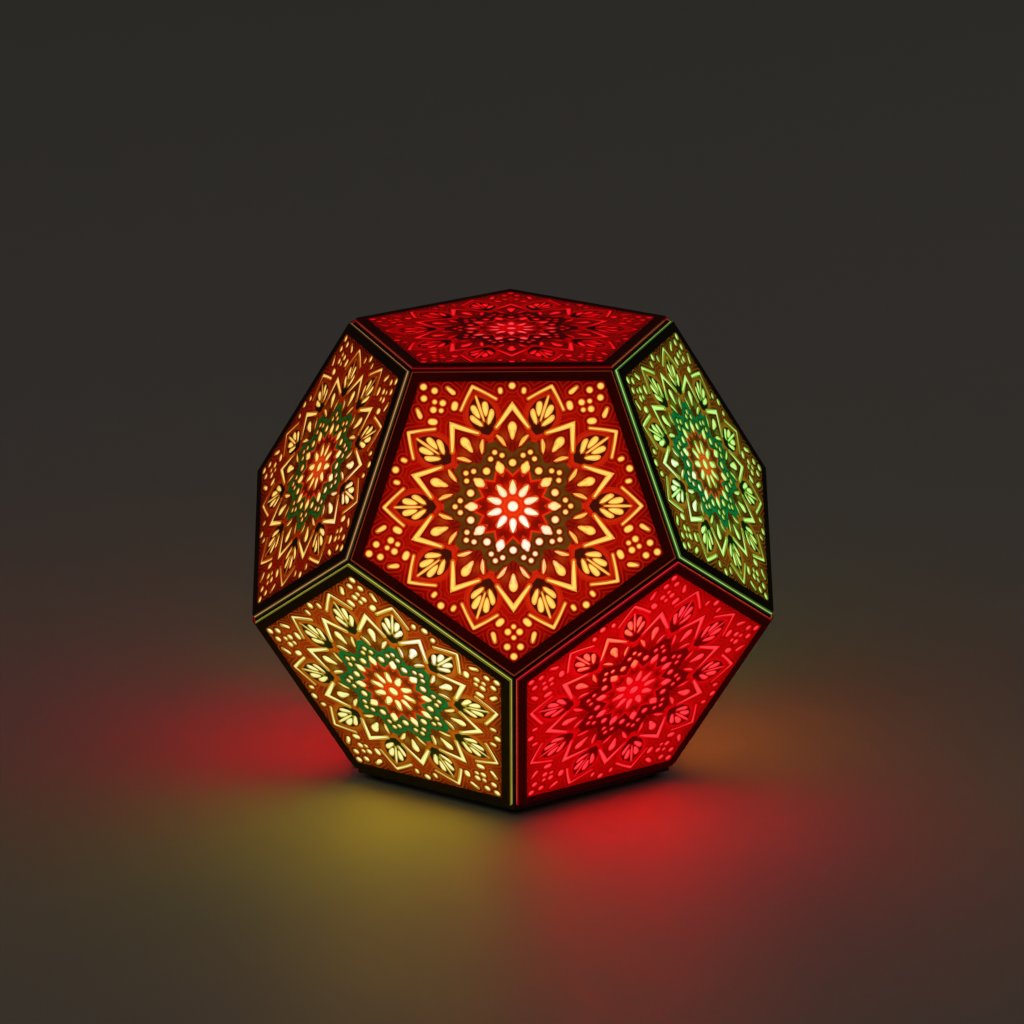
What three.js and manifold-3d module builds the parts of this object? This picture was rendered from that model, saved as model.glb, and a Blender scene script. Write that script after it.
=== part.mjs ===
// Dodecahedron lantern: eleven lit mandala panels and a bottom plate round a light core.
// Millimetres, +Z up. The origin lies on the surface that the lantern stands on, under its
// centre, and the front panel looks along -Y.

import * as THREE from "three";
import { mergeVertices } from "three/addons/utils/BufferGeometryUtils.js";
import Module from "manifold-3d";

const wasm = await Module();
wasm.setup();

// Panels and their frames
const edgeLength = 90; // edge of the dodecahedron through the middle of the diffuser sheets
const plateThickness = 1.2; // pierced black sheet on the outside
const diffuserThickness = 1.5; // translucent sheet behind it
const panelSetback = 1.3; // from the dodecahedron's edge to the side of the sheets
const frameDepth = 4.2; // mitred frame behind the sheets
const frameBarWidth = 3.6; // from the side of the sheets to the light opening
const artBorder = 4.6; // plain black margin round the mandala
const seatGap = 0.3; // glue line or clearance between neighbouring pieces
const overrun = 1; // how far a cutter runs past the face that it opens

// Feet
const footHeight = 3;
const footRadius = 5;
const footChamfer = 0.6;
const footInset = 11; // from the plate's corner to the foot's centre

// Battery cells and their contacts
const cellRadius = 7.25;
const cellLength = 49.2;
const nubRadius = 2.75;
const nubLength = 1.3;
const cellGap = 0.7; // between neighbouring cells
const contactThickness = 0.5;
const contactHeight = 10;
const bumpRadius = 2.5;
const bumpHeight = 0.9;
const springLength = 3.4;
const springWireRadius = 0.4;
const springBaseRadius = 4.4;
const springTipRadius = 2.6;

// Battery tray
const trayWall = 1.2;
const trayPlay = 0.4; // round the cells
const tabReach = 4;
const tabLength = 30;
const tabThickness = 1.2;
const pegRadius = 2;
const pegHeight = 1.5;
const pegInset = 7; // from the tray's sides to a peg's centre

// Sliding battery door
const doorThickness = 2;
const doorLipThickness = 0.7;
const ledgeWidth = 1.5; // the bottom plate's ledges, which carry the door's lips
const grooveWidth = 1.6; // finger grooves on the door
const grooveDepth = 0.6;
const grooveLength = 24;
const groovePitch = 3.4;
const grooveInset = 6; // from the door's front end to the first groove

// Circuit board, switch and button
const boardThickness = 1.6;
const boardPlay = 1; // between the board and the housing's wall and pillars
const boardHeadroom = 5; // above the board
const driverLength = 12;
const driverWidth = 9;
const driverHeight = 2.6;
const coilRadius = 4;
const coilHeight = 3.6;
const switchWidth = 11;
const switchHeight = 10.4;
const switchInset = 8.8; // from the board's front edge to the switch's axis
const buttonRadius = 5.5;
const buttonProud = 1.5; // below the bottom plate
const buttonFlange = 1.5; // wider than the cap
const buttonFlangeThickness = 1.2;
const buttonTravel = 2;
const buttonClearance = 1.3; // between the button's flange and the battery tray
const stemRadius = 2.5;
const stemDepth = 0.5; // of the stem in the switch at rest

// Housing and its screws
const housingPlay = 0.6; // between the housing's wall and the tray's rear corners
const housingWall = 2;
const housingEdgeRadius = 4;
const pillarRadius = 3.4;
const pillarInset = 3.9; // from the housing's inner wall to a pillar's centre
const pillarAngle = THREE.MathUtils.degToRad(32); // from the X axis, on each side
const wireHoleRadius = 4;
const screwHeadRadius = 2.6;
const screwHeadHeight = 1.3;
const screwRadius = 1.4;
const screwGrip = 9; // length in the pillar
const screwSink = 0.2; // the head's depth below the plate's underside

// Light post, core and wire
const postRadius = 6;
const postFlangeRadius = 13;
const postFlangeThickness = 2;
const postFillet = 4;
const socketDepth = 6; // of the core's socket for the post
const coreRadius = 13; // from its centre to its faces
const ledWidth = 7;
const ledBaseThickness = 1;
const ledLensRadius = 2.6;
const ledLensHeight = 1.8;
const wireRadius = 1.5;

// Counts and facets
const faceSides = 5;
const cellCount = 3;
const grooveCount = 3;
const springTurns = 2;
const springSteps = 8; // in each turn
const springSides = 5;
const largeFacets = 28;
const cellFacets = 16;
const smallFacets = 12;
const screwFacets = 8;
const lensFacets = 6;
const arcFacets = 3;

// Mandala windows, as shares of the art radius, which reaches the coloured field's corners
const centreDotShare = 0.033;
const starPetalShares = [0.08, 0.168, 0.021]; // root, point, half width
const ringDotShares = [0.28, 0.03]; // place, size
const teardropShares = [0.425, 0.52, 0.555, 0.027]; // root, widest place, end, half width
const leafShares = [0.5, 0.6, 0.73, 0.021]; // root, widest place, point, half width
const chevronShares = [0.83, 0.705, 0.11, 0.034]; // tip, ends, their spread, depth of the band
const cornerDotShares = [0.955, 0.024]; // place, size
const dotSides = 5;

// Angles of the regular dodecahedron
const goldenRatio = (1 + Math.sqrt(5)) / 2;
const quarterTurn = Math.PI / 2;
const halfTurn = Math.PI;
const faceTurn = (2 * Math.PI) / faceSides;
const upperTilt = Math.atan(2); // from +Z to the normal of an upper panel
const lowerTilt = halfTurn - upperTilt;
const mitreAngle = Math.atan(1 / goldenRatio); // from a panel's normal to its mitre plane
const cornerShare = 1 / Math.cos(faceTurn / 2); // a pentagon's corner radius over its apothem

// Distances from the lantern's centre, along a panel's normal
const faceApothem = edgeLength / (2 * Math.tan(faceTurn / 2));
const inradius = faceApothem * goldenRatio;
const diffuserInside = inradius - diffuserThickness / 2;
const plateInside = diffuserInside + diffuserThickness + seatGap;
const plateOutside = plateInside + plateThickness;
const frameOutside = diffuserInside - seatGap;
const frameInside = frameOutside - frameDepth;
const panelApothem = faceApothem - panelSetback;
const openingApothem = panelApothem - frameBarWidth;
const artRadius = (panelApothem - artBorder) * cornerShare;

// Heights above the surface that the lantern stands on
const centreHeight = footHeight + plateOutside;
const bottomThickness = plateOutside - diffuserInside;
const bottomTop = footHeight + bottomThickness;
const unitLow = bottomTop + seatGap;
const doorTop = footHeight + doorThickness;
const cellHeight = doorTop + seatGap + cellRadius;
const trayRoof = cellHeight + cellRadius + trayPlay;
const trayTop = trayRoof + trayWall;
const boardLow = trayTop + pegHeight + seatGap;
const boardTop = boardLow + boardThickness;
const switchTop = boardLow - seatGap;
const switchLow = switchTop - switchHeight;
const housingRoof = boardTop + boardHeadroom;
const housingTop = housingRoof + housingWall;
const postLow = housingTop + seatGap;
const socketTop = centreHeight - coreRadius + socketDepth;
const postTop = socketTop - seatGap;

// Widths and lengths of the battery tray, seen from above
const cellSpacing = 2 * cellRadius + cellGap;
const cellsHalfWidth = ((cellCount - 1) * cellSpacing) / 2 + cellRadius;
const trayHalfWidth = cellsHalfWidth + trayPlay;
const trayOuterHalfWidth = trayHalfWidth + trayWall;
const stationLength = springLength + bumpHeight + cellLength + nubLength + 2 * seatGap;
const trayHalfLength = stationLength / 2 + contactThickness + seatGap;
const trayOuterHalfLength = trayHalfLength + trayWall;
const slotHalfWidth = trayHalfWidth + ledgeWidth;

// The housing's round wall clears the tray's two rear corners. In front of the tray it leaves room
// for the switch and the button. The tray's shift towards the rear is what makes both fit at once.
const flangeRadius = buttonRadius + buttonFlange;
const frontRoom = flangeRadius + buttonClearance + switchInset + boardPlay - housingPlay;
const reach = 2 * trayOuterHalfLength + frontRoom;
const trayShift = (frontRoom - trayOuterHalfWidth ** 2 / reach) / 2;
const rearCorner = Math.hypot(trayOuterHalfWidth, trayShift + trayOuterHalfLength);
const housingInside = rearCorner + housingPlay;
const housingRadius = housingInside + housingWall;
const boardRadius = housingInside - boardPlay;
const buttonOffset = boardRadius - switchInset;
const slotFront = trayShift - trayHalfLength - ledgeWidth;
const pillarOrbit = housingInside - pillarInset;
const footOrbit = panelApothem * cornerShare - footInset;
const socketRadius = postRadius + seatGap;

// Joining and cutting closed meshes

function solidOf(geometry) {
  const bare = geometry.index ? geometry.toNonIndexed() : geometry.clone();
  bare.deleteAttribute("normal");
  bare.deleteAttribute("uv");
  const merged = mergeVertices(bare);
  const vertProperties = merged.attributes.position.array;
  const triVerts = new Uint32Array(merged.index.array);
  return new wasm.Manifold(new wasm.Mesh({ numProp: 3, vertProperties, triVerts }));
}

function geometryOf(solid) {
  const { vertProperties, triVerts } = solid.getMesh();
  const geometry = new THREE.BufferGeometry();
  geometry.setAttribute("position", new THREE.BufferAttribute(vertProperties, 3));
  geometry.setIndex(new THREE.BufferAttribute(triVerts, 1));
  geometry.computeVertexNormals();
  return geometry;
}

function joined(...geometries) {
  return geometryOf(geometries.map(solidOf).reduce((whole, next) => whole.add(next)));
}

function cut(body, ...cutters) {
  return geometryOf(cutters.map(solidOf).reduce((left, next) => left.subtract(next), solidOf(body)));
}

// Basic forms, all along +Z

function pentagonPoints(apothem) {
  return regularPoints(apothem * cornerShare, faceSides, -quarterTurn);
}

function regularPoints(radius, sides, start = 0) {
  const points = [];
  for (let i = 0; i < sides; i++) {
    const angle = start + (2 * Math.PI * i) / sides;
    points.push(new THREE.Vector2(radius * Math.cos(angle), radius * Math.sin(angle)));
  }
  return points;
}

function slab(outline, low, high, holes = []) {
  const shape = new THREE.Shape(outline);
  shape.holes = holes.map((points) => new THREE.Path(points));
  const geometry = new THREE.ExtrudeGeometry(shape, { depth: high - low, bevelEnabled: false });
  return geometry.translate(0, 0, low);
}

// A pentagon whose apothem changes from one height to the other, with a corner towards -Y
function pentagonFrustum(lowApothem, highApothem, low, high) {
  const lowRadius = lowApothem * cornerShare;
  const highRadius = highApothem * cornerShare;
  const geometry = new THREE.CylinderGeometry(highRadius, lowRadius, high - low, faceSides);
  return geometry.rotateX(quarterTurn).translate(0, 0, (low + high) / 2);
}

function rod(radius, low, high, facets) {
  const geometry = new THREE.CylinderGeometry(radius, radius, high - low, facets);
  return geometry.rotateX(quarterTurn).translate(0, 0, (low + high) / 2);
}

function block(halfWidth, front, rear, low, high) {
  const geometry = new THREE.BoxGeometry(2 * halfWidth, rear - front, high - low);
  return geometry.translate(0, (front + rear) / 2, (low + high) / 2);
}

// A profile of [radius, height] pairs, listed upwards along its outside
function revolved(profile, facets) {
  const points = profile.map(([radius, height]) => new THREE.Vector2(radius, height));
  return new THREE.LatheGeometry(points, facets).rotateX(quarterTurn);
}

// Part of such a profile: an arc round the point [x, z]
function arcProfile(x, z, radius, from, to) {
  const profile = [];
  for (let i = 0; i <= arcFacets; i++) {
    const angle = from + ((to - from) * i) / arcFacets;
    profile.push([x + radius * Math.cos(angle), z + radius * Math.sin(angle)]);
  }
  return profile;
}

// Mandala windows: outlines that point outwards along +X, then are turned into place

function turned(points, angle) {
  const centre = new THREE.Vector2();
  return points.map((point) => point.clone().rotateAround(centre, angle));
}

function scaledPoints(pairs) {
  return pairs.map(([out, across]) => new THREE.Vector2(out * artRadius, across * artRadius));
}

function kiteWindow([from, widest, to, halfWidth]) {
  return scaledPoints([[from, 0], [widest, -halfWidth], [to, 0], [widest, halfWidth]]);
}

function petalWindow([from, to, halfWidth]) {
  return scaledPoints([[from, -halfWidth], [to, 0], [from, halfWidth]]);
}

function chevronWindow([tip, end, spread, depth]) {
  const outside = [[end, -spread], [tip, 0], [end, spread]];
  const inside = [[end - depth, spread], [tip - depth, 0], [end - depth, -spread]];
  return scaledPoints([...outside, ...inside]);
}

function dotWindow([at, size]) {
  const centre = new THREE.Vector2(at * artRadius, 0);
  return regularPoints(size * artRadius, dotSides).map((point) => point.add(centre));
}

// Copies round the mandala; the first one stands at the given angle
function windowRing(outline, count, start) {
  const ring = [];
  for (let i = 0; i < count; i++) ring.push(turned(outline, start + (2 * Math.PI * i) / count));
  return ring;
}

function mandalaWindows() {
  const petals = 2 * faceSides;
  const halfPetal = Math.PI / petals;
  return [
    regularPoints(centreDotShare * artRadius, dotSides),
    ...windowRing(petalWindow(starPetalShares), petals, quarterTurn),
    ...windowRing(dotWindow(ringDotShares), petals, quarterTurn),
    ...windowRing(kiteWindow(teardropShares), petals, quarterTurn),
    ...windowRing(kiteWindow(leafShares), petals, quarterTurn + halfPetal),
    ...windowRing(chevronWindow(chevronShares), petals, quarterTurn + halfPetal),
    ...windowRing(dotWindow(cornerDotShares), faceSides, -quarterTurn),
  ];
}

// Materials and meshes

function finish(color, roughness, metalness = 0) {
  return new THREE.MeshStandardMaterial({ color, roughness, metalness });
}

function lit(color) {
  return new THREE.MeshStandardMaterial({ color, roughness: 0.45, metalness: 0, emissive: color });
}

function addMesh(parent, name, geometry, material) {
  const mesh = new THREE.Mesh(geometry, material);
  mesh.name = name;
  parent.add(mesh);
  return mesh;
}

// Panel frame: a pentagonal ring with mitred sides, in its panel's own frame

function frameRing(low, high, lowApothem, highApothem) {
  const mitreLoss = seatGap / 2 / Math.cos(mitreAngle);
  const ring = pentagonFrustum(lowApothem - mitreLoss, highApothem - mitreLoss, low, high);
  const opening = pentagonFrustum(openingApothem, openingApothem, low - overrun, high + overrun);
  return cut(ring, opening);
}

function panelFrame() {
  const insideApothem = frameInside / goldenRatio;
  const outsideApothem = frameOutside / goldenRatio;
  return frameRing(frameInside, frameOutside, insideApothem, outsideApothem);
}

// One lit panel: frame, diffuser and pierced plate. Its +Z is the outward normal, and a corner
// points along -Y before it is rolled.
function addPanel(parent, name, spin, tilt, roll, color) {
  const spun = new THREE.Group();
  spun.rotation.z = spin;
  const tilted = new THREE.Group();
  tilted.rotation.x = tilt;
  const panel = new THREE.Group();
  panel.rotation.z = roll;
  parent.add(spun);
  spun.add(tilted);
  tilted.add(panel);
  const outline = pentagonPoints(panelApothem);
  const diffuser = slab(outline, diffuserInside, diffuserInside + diffuserThickness);
  const plate = slab(outline, plateInside, plateOutside, mandalaWindows());
  addMesh(panel, "frame_" + name, panelFrame(), finish(0x14110f, 0.7));
  addMesh(panel, "diffuser_" + name, diffuser, lit(color));
  addMesh(panel, "plate_" + name, plate, finish(0x0b0909, 0.55));
}

// Shell: eleven panels that lift off the base together

function buildShell() {
  const shell = new THREE.Group();
  shell.position.z = centreHeight;
  addPanel(shell, "top", 0, 0, halfTurn, 0xc8101c);
  const upperPanels = [
    ["upper_front", 0xf2a030],
    ["upper_right", 0x86d84a],
    ["upper_rear_right", 0xe0902c],
    ["upper_rear_left", 0xb0121a],
    ["upper_left", 0xe8c64a],
  ];
  upperPanels.forEach(([name, color], i) => {
    addPanel(shell, name, i * faceTurn, upperTilt, 0, color);
  });
  const lowerPanels = [
    ["lower_front_right", 0xe0203a],
    ["lower_right", 0xe8962c],
    ["lower_rear", 0x5cc048],
    ["lower_left", 0xc01420],
    ["lower_front_left", 0xb8d850],
  ];
  lowerPanels.forEach(([name, color], i) => {
    addPanel(shell, name, (i + 1 / 2) * faceTurn, lowerTilt, halfTurn, color);
  });
  return shell;
}

// Bottom plate: the twelfth face, with the battery slot, its ledges, and the holes

function bottomPlate() {
  const low = footHeight - overrun;
  const high = bottomTop + overrun;
  const rear = panelApothem + overrun;
  const ledgeTop = doorTop - doorLipThickness - seatGap;
  const outline = pentagonPoints(panelApothem);
  const wideSlot = block(slotHalfWidth, slotFront, rear, ledgeTop, high);
  const narrowSlot = block(trayHalfWidth, slotFront + ledgeWidth, rear, low, high);
  const buttonHole = rod(buttonRadius + seatGap, low, high, smallFacets);
  buttonHole.translate(0, -buttonOffset, 0);
  const headTop = footHeight + screwSink + screwHeadHeight + seatGap;
  const shaft = rod(screwRadius + seatGap, low, high, screwFacets);
  const sink = rod(screwHeadRadius + seatGap, low, headTop, screwFacets);
  const screwHoles = [...atPillars(shaft), ...atPillars(sink)];
  const sheet = slab(outline, footHeight, bottomTop);
  return cut(sheet, wideSlot, narrowSlot, buttonHole, ...screwHoles);
}

// The bottom frame carries the shell on its sloping sides, which narrow upwards
function bottomFrame() {
  const low = centreHeight - frameOutside;
  const high = centreHeight - frameInside;
  return frameRing(low, high, frameOutside / goldenRatio, frameInside / goldenRatio);
}

function foot() {
  const bottomRadius = footRadius - footChamfer;
  const profile = [[0, 0], [bottomRadius, 0], [footRadius, footChamfer]];
  return revolved([...profile, [footRadius, footHeight], [0, footHeight]], smallFacets);
}

// Four pillars, on a circle, beside the tray's corners
function pillarPlaces() {
  const places = [];
  for (const side of [-1, 1]) {
    for (const end of [-1, 1]) {
      const x = side * pillarOrbit * Math.cos(pillarAngle);
      const y = end * pillarOrbit * Math.sin(pillarAngle);
      places.push([x, y]);
    }
  }
  return places;
}

function atPillars(form) {
  return pillarPlaces().map(([x, y]) => form.clone().translate(x, y, 0));
}

// Housing: a round cap over the batteries and the board, on the bottom plate

function housing() {
  const outerEdge = housingEdgeRadius;
  const innerEdge = outerEdge - housingWall;
  const x = housingRadius - outerEdge;
  const z = housingTop - outerEdge;
  const outerTurn = arcProfile(x, z, outerEdge, 0, quarterTurn);
  const innerTurn = arcProfile(x, z, innerEdge, quarterTurn, 0);
  const outside = [[housingInside, unitLow], [housingRadius, unitLow], ...outerTurn];
  const top = [[wireHoleRadius, housingTop], [wireHoleRadius, housingRoof]];
  const shell = revolved([...outside, ...top, ...innerTurn, [housingInside, unitLow]], largeFacets);
  const pillarTop = housingRoof + housingWall / 2;
  const pilotTop = unitLow + screwGrip + seatGap;
  const pillar = rod(pillarRadius, unitLow, pillarTop, smallFacets);
  const pilot = rod(screwRadius + seatGap, unitLow - overrun, pilotTop, screwFacets);
  const pillars = atPillars(pillar);
  const pilots = atPillars(pilot);
  return cut(joined(shell, ...pillars), ...pilots);
}

function housingScrew() {
  const headLow = footHeight + screwSink;
  const headTop = headLow + screwHeadHeight;
  const end = unitLow + screwGrip;
  const head = [[0, headLow], [screwHeadRadius, headLow], [screwHeadRadius, headTop]];
  return revolved([...head, [screwRadius, headTop], [screwRadius, end], [0, end]], screwFacets);
}

// Tray: a box with an open bottom, side tabs on the plate, and pegs under the board

function batteryTray() {
  const front = trayShift - trayHalfLength;
  const rear = trayShift + trayHalfLength;
  const outerHalf = trayOuterHalfWidth;
  const body = block(outerHalf, front - trayWall, rear + trayWall, unitLow, trayTop);
  const inside = block(trayHalfWidth, front, rear, unitLow - overrun, trayRoof);
  const tabFront = trayShift - tabLength / 2;
  const tabRear = trayShift + tabLength / 2;
  const tabs = block(outerHalf + tabReach, tabFront, tabRear, unitLow, unitLow + tabThickness);
  const pegs = [];
  for (const side of [-1, 1]) {
    for (const y of [front + pegInset, rear - pegInset]) {
      const peg = rod(pegRadius, trayRoof, trayTop + pegHeight, smallFacets);
      pegs.push(peg.translate(side * (trayHalfWidth - pegInset), y, 0));
    }
  }
  return cut(joined(body, tabs, ...pegs), inside);
}

// Battery cell, lying along Y with its nub towards +Y, centred on its station
function cell() {
  const low = -stationLength / 2 + springLength + seatGap;
  const shoulder = low + cellLength;
  const tip = shoulder + nubLength;
  const can = [[0, low], [cellRadius, low], [cellRadius, shoulder], [nubRadius, shoulder]];
  const geometry = revolved([...can, [nubRadius, tip], [0, tip]], cellFacets);
  return geometry.rotateX(-quarterTurn);
}

// Contacts: a strip with a bump for each nub and a conical spring for each flat end

class ConicalSpring extends THREE.Curve {
  getPoint(t, target = new THREE.Vector3()) {
    const angle = t * springTurns * 2 * Math.PI;
    const radius = springBaseRadius + (springTipRadius - springBaseRadius) * t;
    const rise = (springLength - springWireRadius) * t;
    return target.set(radius * Math.cos(angle), radius * Math.sin(angle), rise);
  }
}

function contactSpring() {
  const wire = new THREE.Shape(regularPoints(springWireRadius, springSides));
  const steps = springTurns * springSteps;
  return new THREE.ExtrudeGeometry(wire, { extrudePath: new ConicalSpring(), steps });
}

// Least gap between the turns of a spring, measured on points that lie over half a turn apart
function leastSpringGap() {
  const steps = springTurns * springSteps;
  const points = new ConicalSpring().getPoints(steps);
  let least = Infinity;
  for (let i = 0; i <= steps; i++) {
    for (let j = i + springSteps / 2; j <= steps; j++) {
      least = Math.min(least, points[i].distanceTo(points[j]));
    }
  }
  return least - 2 * springWireRadius;
}

// The strip stands at the rear end of the tray; parts named in signs face each cell in turn
function contactStrip(signs) {
  const halfWidth = trayHalfWidth - seatGap;
  const pieces = signs.map((sign, i) => {
    const x = (i - (cellCount - 1) / 2) * cellSpacing;
    if (sign === "bump") {
      return rod(bumpRadius, -contactThickness / 2, bumpHeight, smallFacets).translate(x, 0, 0);
    }
    return contactSpring().translate(x, 0, 0);
  });
  const strip = new THREE.BoxGeometry(2 * halfWidth, contactHeight, contactThickness);
  strip.translate(0, 0, -contactThickness / 2);
  return joined(strip, ...pieces).rotateX(quarterTurn);
}

// Door: slides out to the rear on the plate's ledges

function batteryDoor() {
  const bodyHalf = trayHalfWidth - seatGap;
  const lipHalf = slotHalfWidth - seatGap;
  const front = slotFront + ledgeWidth + seatGap;
  const lipLow = doorTop - doorLipThickness;
  const body = block(bodyHalf, front, panelApothem, footHeight, doorTop);
  const lips = block(lipHalf, front - ledgeWidth, panelApothem, lipLow, doorTop);
  const grooves = [];
  for (let i = 0; i < grooveCount; i++) {
    const y = front + grooveInset + i * groovePitch;
    const low = footHeight - overrun;
    grooves.push(block(grooveLength / 2, y, y + grooveWidth, low, footHeight + grooveDepth));
  }
  return cut(joined(body, lips), ...grooves);
}

// Circuit board, with the driver and its coil

function circuitBoard() {
  const disc = rod(boardRadius, boardLow, boardTop, largeFacets);
  const notch = rod(pillarRadius + boardPlay, boardLow - overrun, boardTop + overrun, smallFacets);
  const board = cut(disc, ...atPillars(notch));
  const inBoard = boardTop - boardThickness / 2;
  const driver = new THREE.BoxGeometry(driverLength, driverWidth, boardThickness / 2 + driverHeight);
  driver.translate(boardRadius / 2, 0, (inBoard + boardTop + driverHeight) / 2);
  const coil = rod(coilRadius, inBoard, boardTop + coilHeight, smallFacets);
  coil.translate(-boardRadius / 2, 0, 0);
  return joined(board, driver, coil);
}

function switchBody() {
  const depth = buttonTravel + stemDepth + seatGap;
  const half = switchWidth / 2;
  const body = block(half, -half, half, switchLow, switchTop);
  return cut(body, rod(stemRadius + seatGap, switchLow - overrun, switchLow + depth, smallFacets));
}

function powerButton() {
  const flangeTop = unitLow + buttonFlangeThickness;
  const stemTop = switchLow + stemDepth;
  const low = footHeight - buttonProud;
  const cap = [[0, low], [buttonRadius, low], [buttonRadius, unitLow], [flangeRadius, unitLow]];
  const stem = [[flangeRadius, flangeTop], [stemRadius, flangeTop], [stemRadius, stemTop], [0, stemTop]];
  return revolved([...cap, ...stem], smallFacets);
}

// Light post: a hollow column from the housing up into the core's socket

function lightPost() {
  const flangeTop = postLow + postFlangeThickness;
  const filletRadius = postRadius + postFillet;
  const fillet = arcProfile(filletRadius, flangeTop + postFillet, postFillet, -quarterTurn, -halfTurn);
  const flange = [[wireHoleRadius, postLow], [postFlangeRadius, postLow], [postFlangeRadius, flangeTop]];
  const column = [[postRadius, postTop], [wireHoleRadius, postTop], [wireHoleRadius, postLow]];
  return revolved([...flange, ...fillet, ...column], smallFacets);
}

// Light core: a small dodecahedron whose faces match the panels, with an emitter on each but the lowest

function emitter(spin, tilt) {
  const sunk = coreRadius - ledBaseThickness;
  const baseTop = coreRadius + ledBaseThickness;
  const base = new THREE.BoxGeometry(ledWidth, ledWidth, baseTop - sunk);
  base.translate(0, 0, (sunk + baseTop) / 2);
  const lensTop = baseTop + ledLensHeight;
  const lens = new THREE.CylinderGeometry(ledLensRadius / 2, ledLensRadius, lensTop - sunk, lensFacets);
  lens.rotateX(quarterTurn).translate(0, 0, (sunk + lensTop) / 2);
  return joined(base, lens).rotateX(tilt).rotateZ(spin);
}

function lightCore() {
  const circumradius = (coreRadius * Math.sqrt(3) * Math.sqrt(3 - goldenRatio)) / goldenRatio;
  const body = new THREE.DodecahedronGeometry(circumradius).rotateX(mitreAngle - quarterTurn);
  const emitters = [emitter(0, 0)];
  for (let i = 0; i < faceSides; i++) {
    emitters.push(emitter(i * faceTurn, upperTilt));
    emitters.push(emitter((i + 1 / 2) * faceTurn, lowerTilt));
  }
  const socket = rod(socketRadius, -coreRadius - overrun, socketDepth - coreRadius, smallFacets);
  return cut(joined(body, ...emitters), socket).translate(0, 0, centreHeight);
}

// Base: everything that stays on the table when the shell is lifted off

function buildBase() {
  const base = new THREE.Group();
  addMesh(base, "bottom_plate", bottomPlate(), finish(0x100d0c, 0.6));
  addMesh(base, "bottom_frame", bottomFrame(), finish(0x14110f, 0.7));
  for (let i = 0; i < faceSides; i++) {
    const angle = i * faceTurn - quarterTurn;
    const rubberFoot = addMesh(base, "foot_" + (i + 1), foot(), finish(0x1a1a1a, 0.9));
    rubberFoot.position.set(footOrbit * Math.cos(angle), footOrbit * Math.sin(angle), 0);
  }
  addMesh(base, "light_housing", housing(), finish(0x191716, 0.6));
  pillarPlaces().forEach(([x, y], i) => {
    const screw = addMesh(base, "housing_screw_" + (i + 1), housingScrew(), finish(0x9a9a9e, 0.35, 1));
    screw.position.set(x, y, 0);
  });
  addMesh(base, "battery_tray", batteryTray(), finish(0x23211f, 0.65));
  addBatteries(base);
  addMesh(base, "circuit_board", circuitBoard(), finish(0x1d5a30, 0.5));
  const switchMesh = addMesh(base, "switch_body", switchBody(), finish(0x202024, 0.5));
  switchMesh.position.y = -buttonOffset;
  addMesh(base, "light_post", lightPost(), finish(0xb8b8ba, 0.35, 1));
  addMesh(base, "light_core", lightCore(), finish(0xe8e6e0, 0.5));
  const wire = rod(wireRadius, boardTop + seatGap, socketTop - seatGap, lensFacets);
  addMesh(base, "light_wire", wire, finish(0x8a1a1a, 0.6));
  return base;
}

// Cells lie side by side and point by turns to the rear and to the front
function addBatteries(base) {
  for (let i = 0; i < cellCount; i++) {
    const x = (i - (cellCount - 1) / 2) * cellSpacing;
    const battery = addMesh(base, "battery_cell_" + (i + 1), cell(), finish(0x3a6ea8, 0.4, 0.3));
    battery.position.set(x, trayShift, cellHeight);
    battery.rotation.z = i % 2 === 0 ? 0 : halfTurn;
  }
  const rearStrip = contactStrip(["bump", "spring", "bump"]);
  const rear = addMesh(base, "battery_contact_rear", rearStrip, finish(0xc8c4b8, 0.3, 1));
  rear.position.set(0, trayShift + stationLength / 2, cellHeight);
  const frontStrip = contactStrip(["spring", "bump", "spring"]);
  const front = addMesh(base, "battery_contact_front", frontStrip, finish(0xc8c4b8, 0.3, 1));
  front.position.set(0, trayShift - stationLength / 2, cellHeight);
  front.rotation.z = halfTurn;
  console.log("Least gap between a spring's turns, mm: " + leastSpringGap().toFixed(2));
}

const lantern = new THREE.Group();
lantern.add(buildBase());
lantern.add(buildShell());
addMesh(lantern, "battery_door", batteryDoor(), finish(0x161312, 0.6));
const button = addMesh(lantern, "power_button", powerButton(), finish(0xb01818, 0.5));
button.position.y = -buttonOffset;

export default lantern;
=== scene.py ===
import functools
import math

import bmesh
import bpy
from bpy.props import FloatProperty, FloatVectorProperty, PointerProperty
from bpy.types import Operator, Panel, PropertyGroup
from mathutils import Matrix, Vector


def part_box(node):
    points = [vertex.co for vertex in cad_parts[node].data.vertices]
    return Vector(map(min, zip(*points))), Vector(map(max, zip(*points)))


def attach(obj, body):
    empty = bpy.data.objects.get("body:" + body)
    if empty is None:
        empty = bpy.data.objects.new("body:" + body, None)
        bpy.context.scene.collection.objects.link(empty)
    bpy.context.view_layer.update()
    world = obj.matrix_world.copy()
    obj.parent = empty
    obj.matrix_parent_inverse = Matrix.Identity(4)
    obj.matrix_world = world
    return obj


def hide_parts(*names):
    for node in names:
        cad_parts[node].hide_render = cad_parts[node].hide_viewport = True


bl_info = {
    "name": "Dodecahedron lantern",
    "version": (1, 0, 0),
    "blender": (4, 5, 0),
    "location": "3D View > Sidebar > Lantern",
    "description": "Builds the lit mandala panels, the base and the light unit of the lantern",
    "category": "Object",
}

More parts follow.
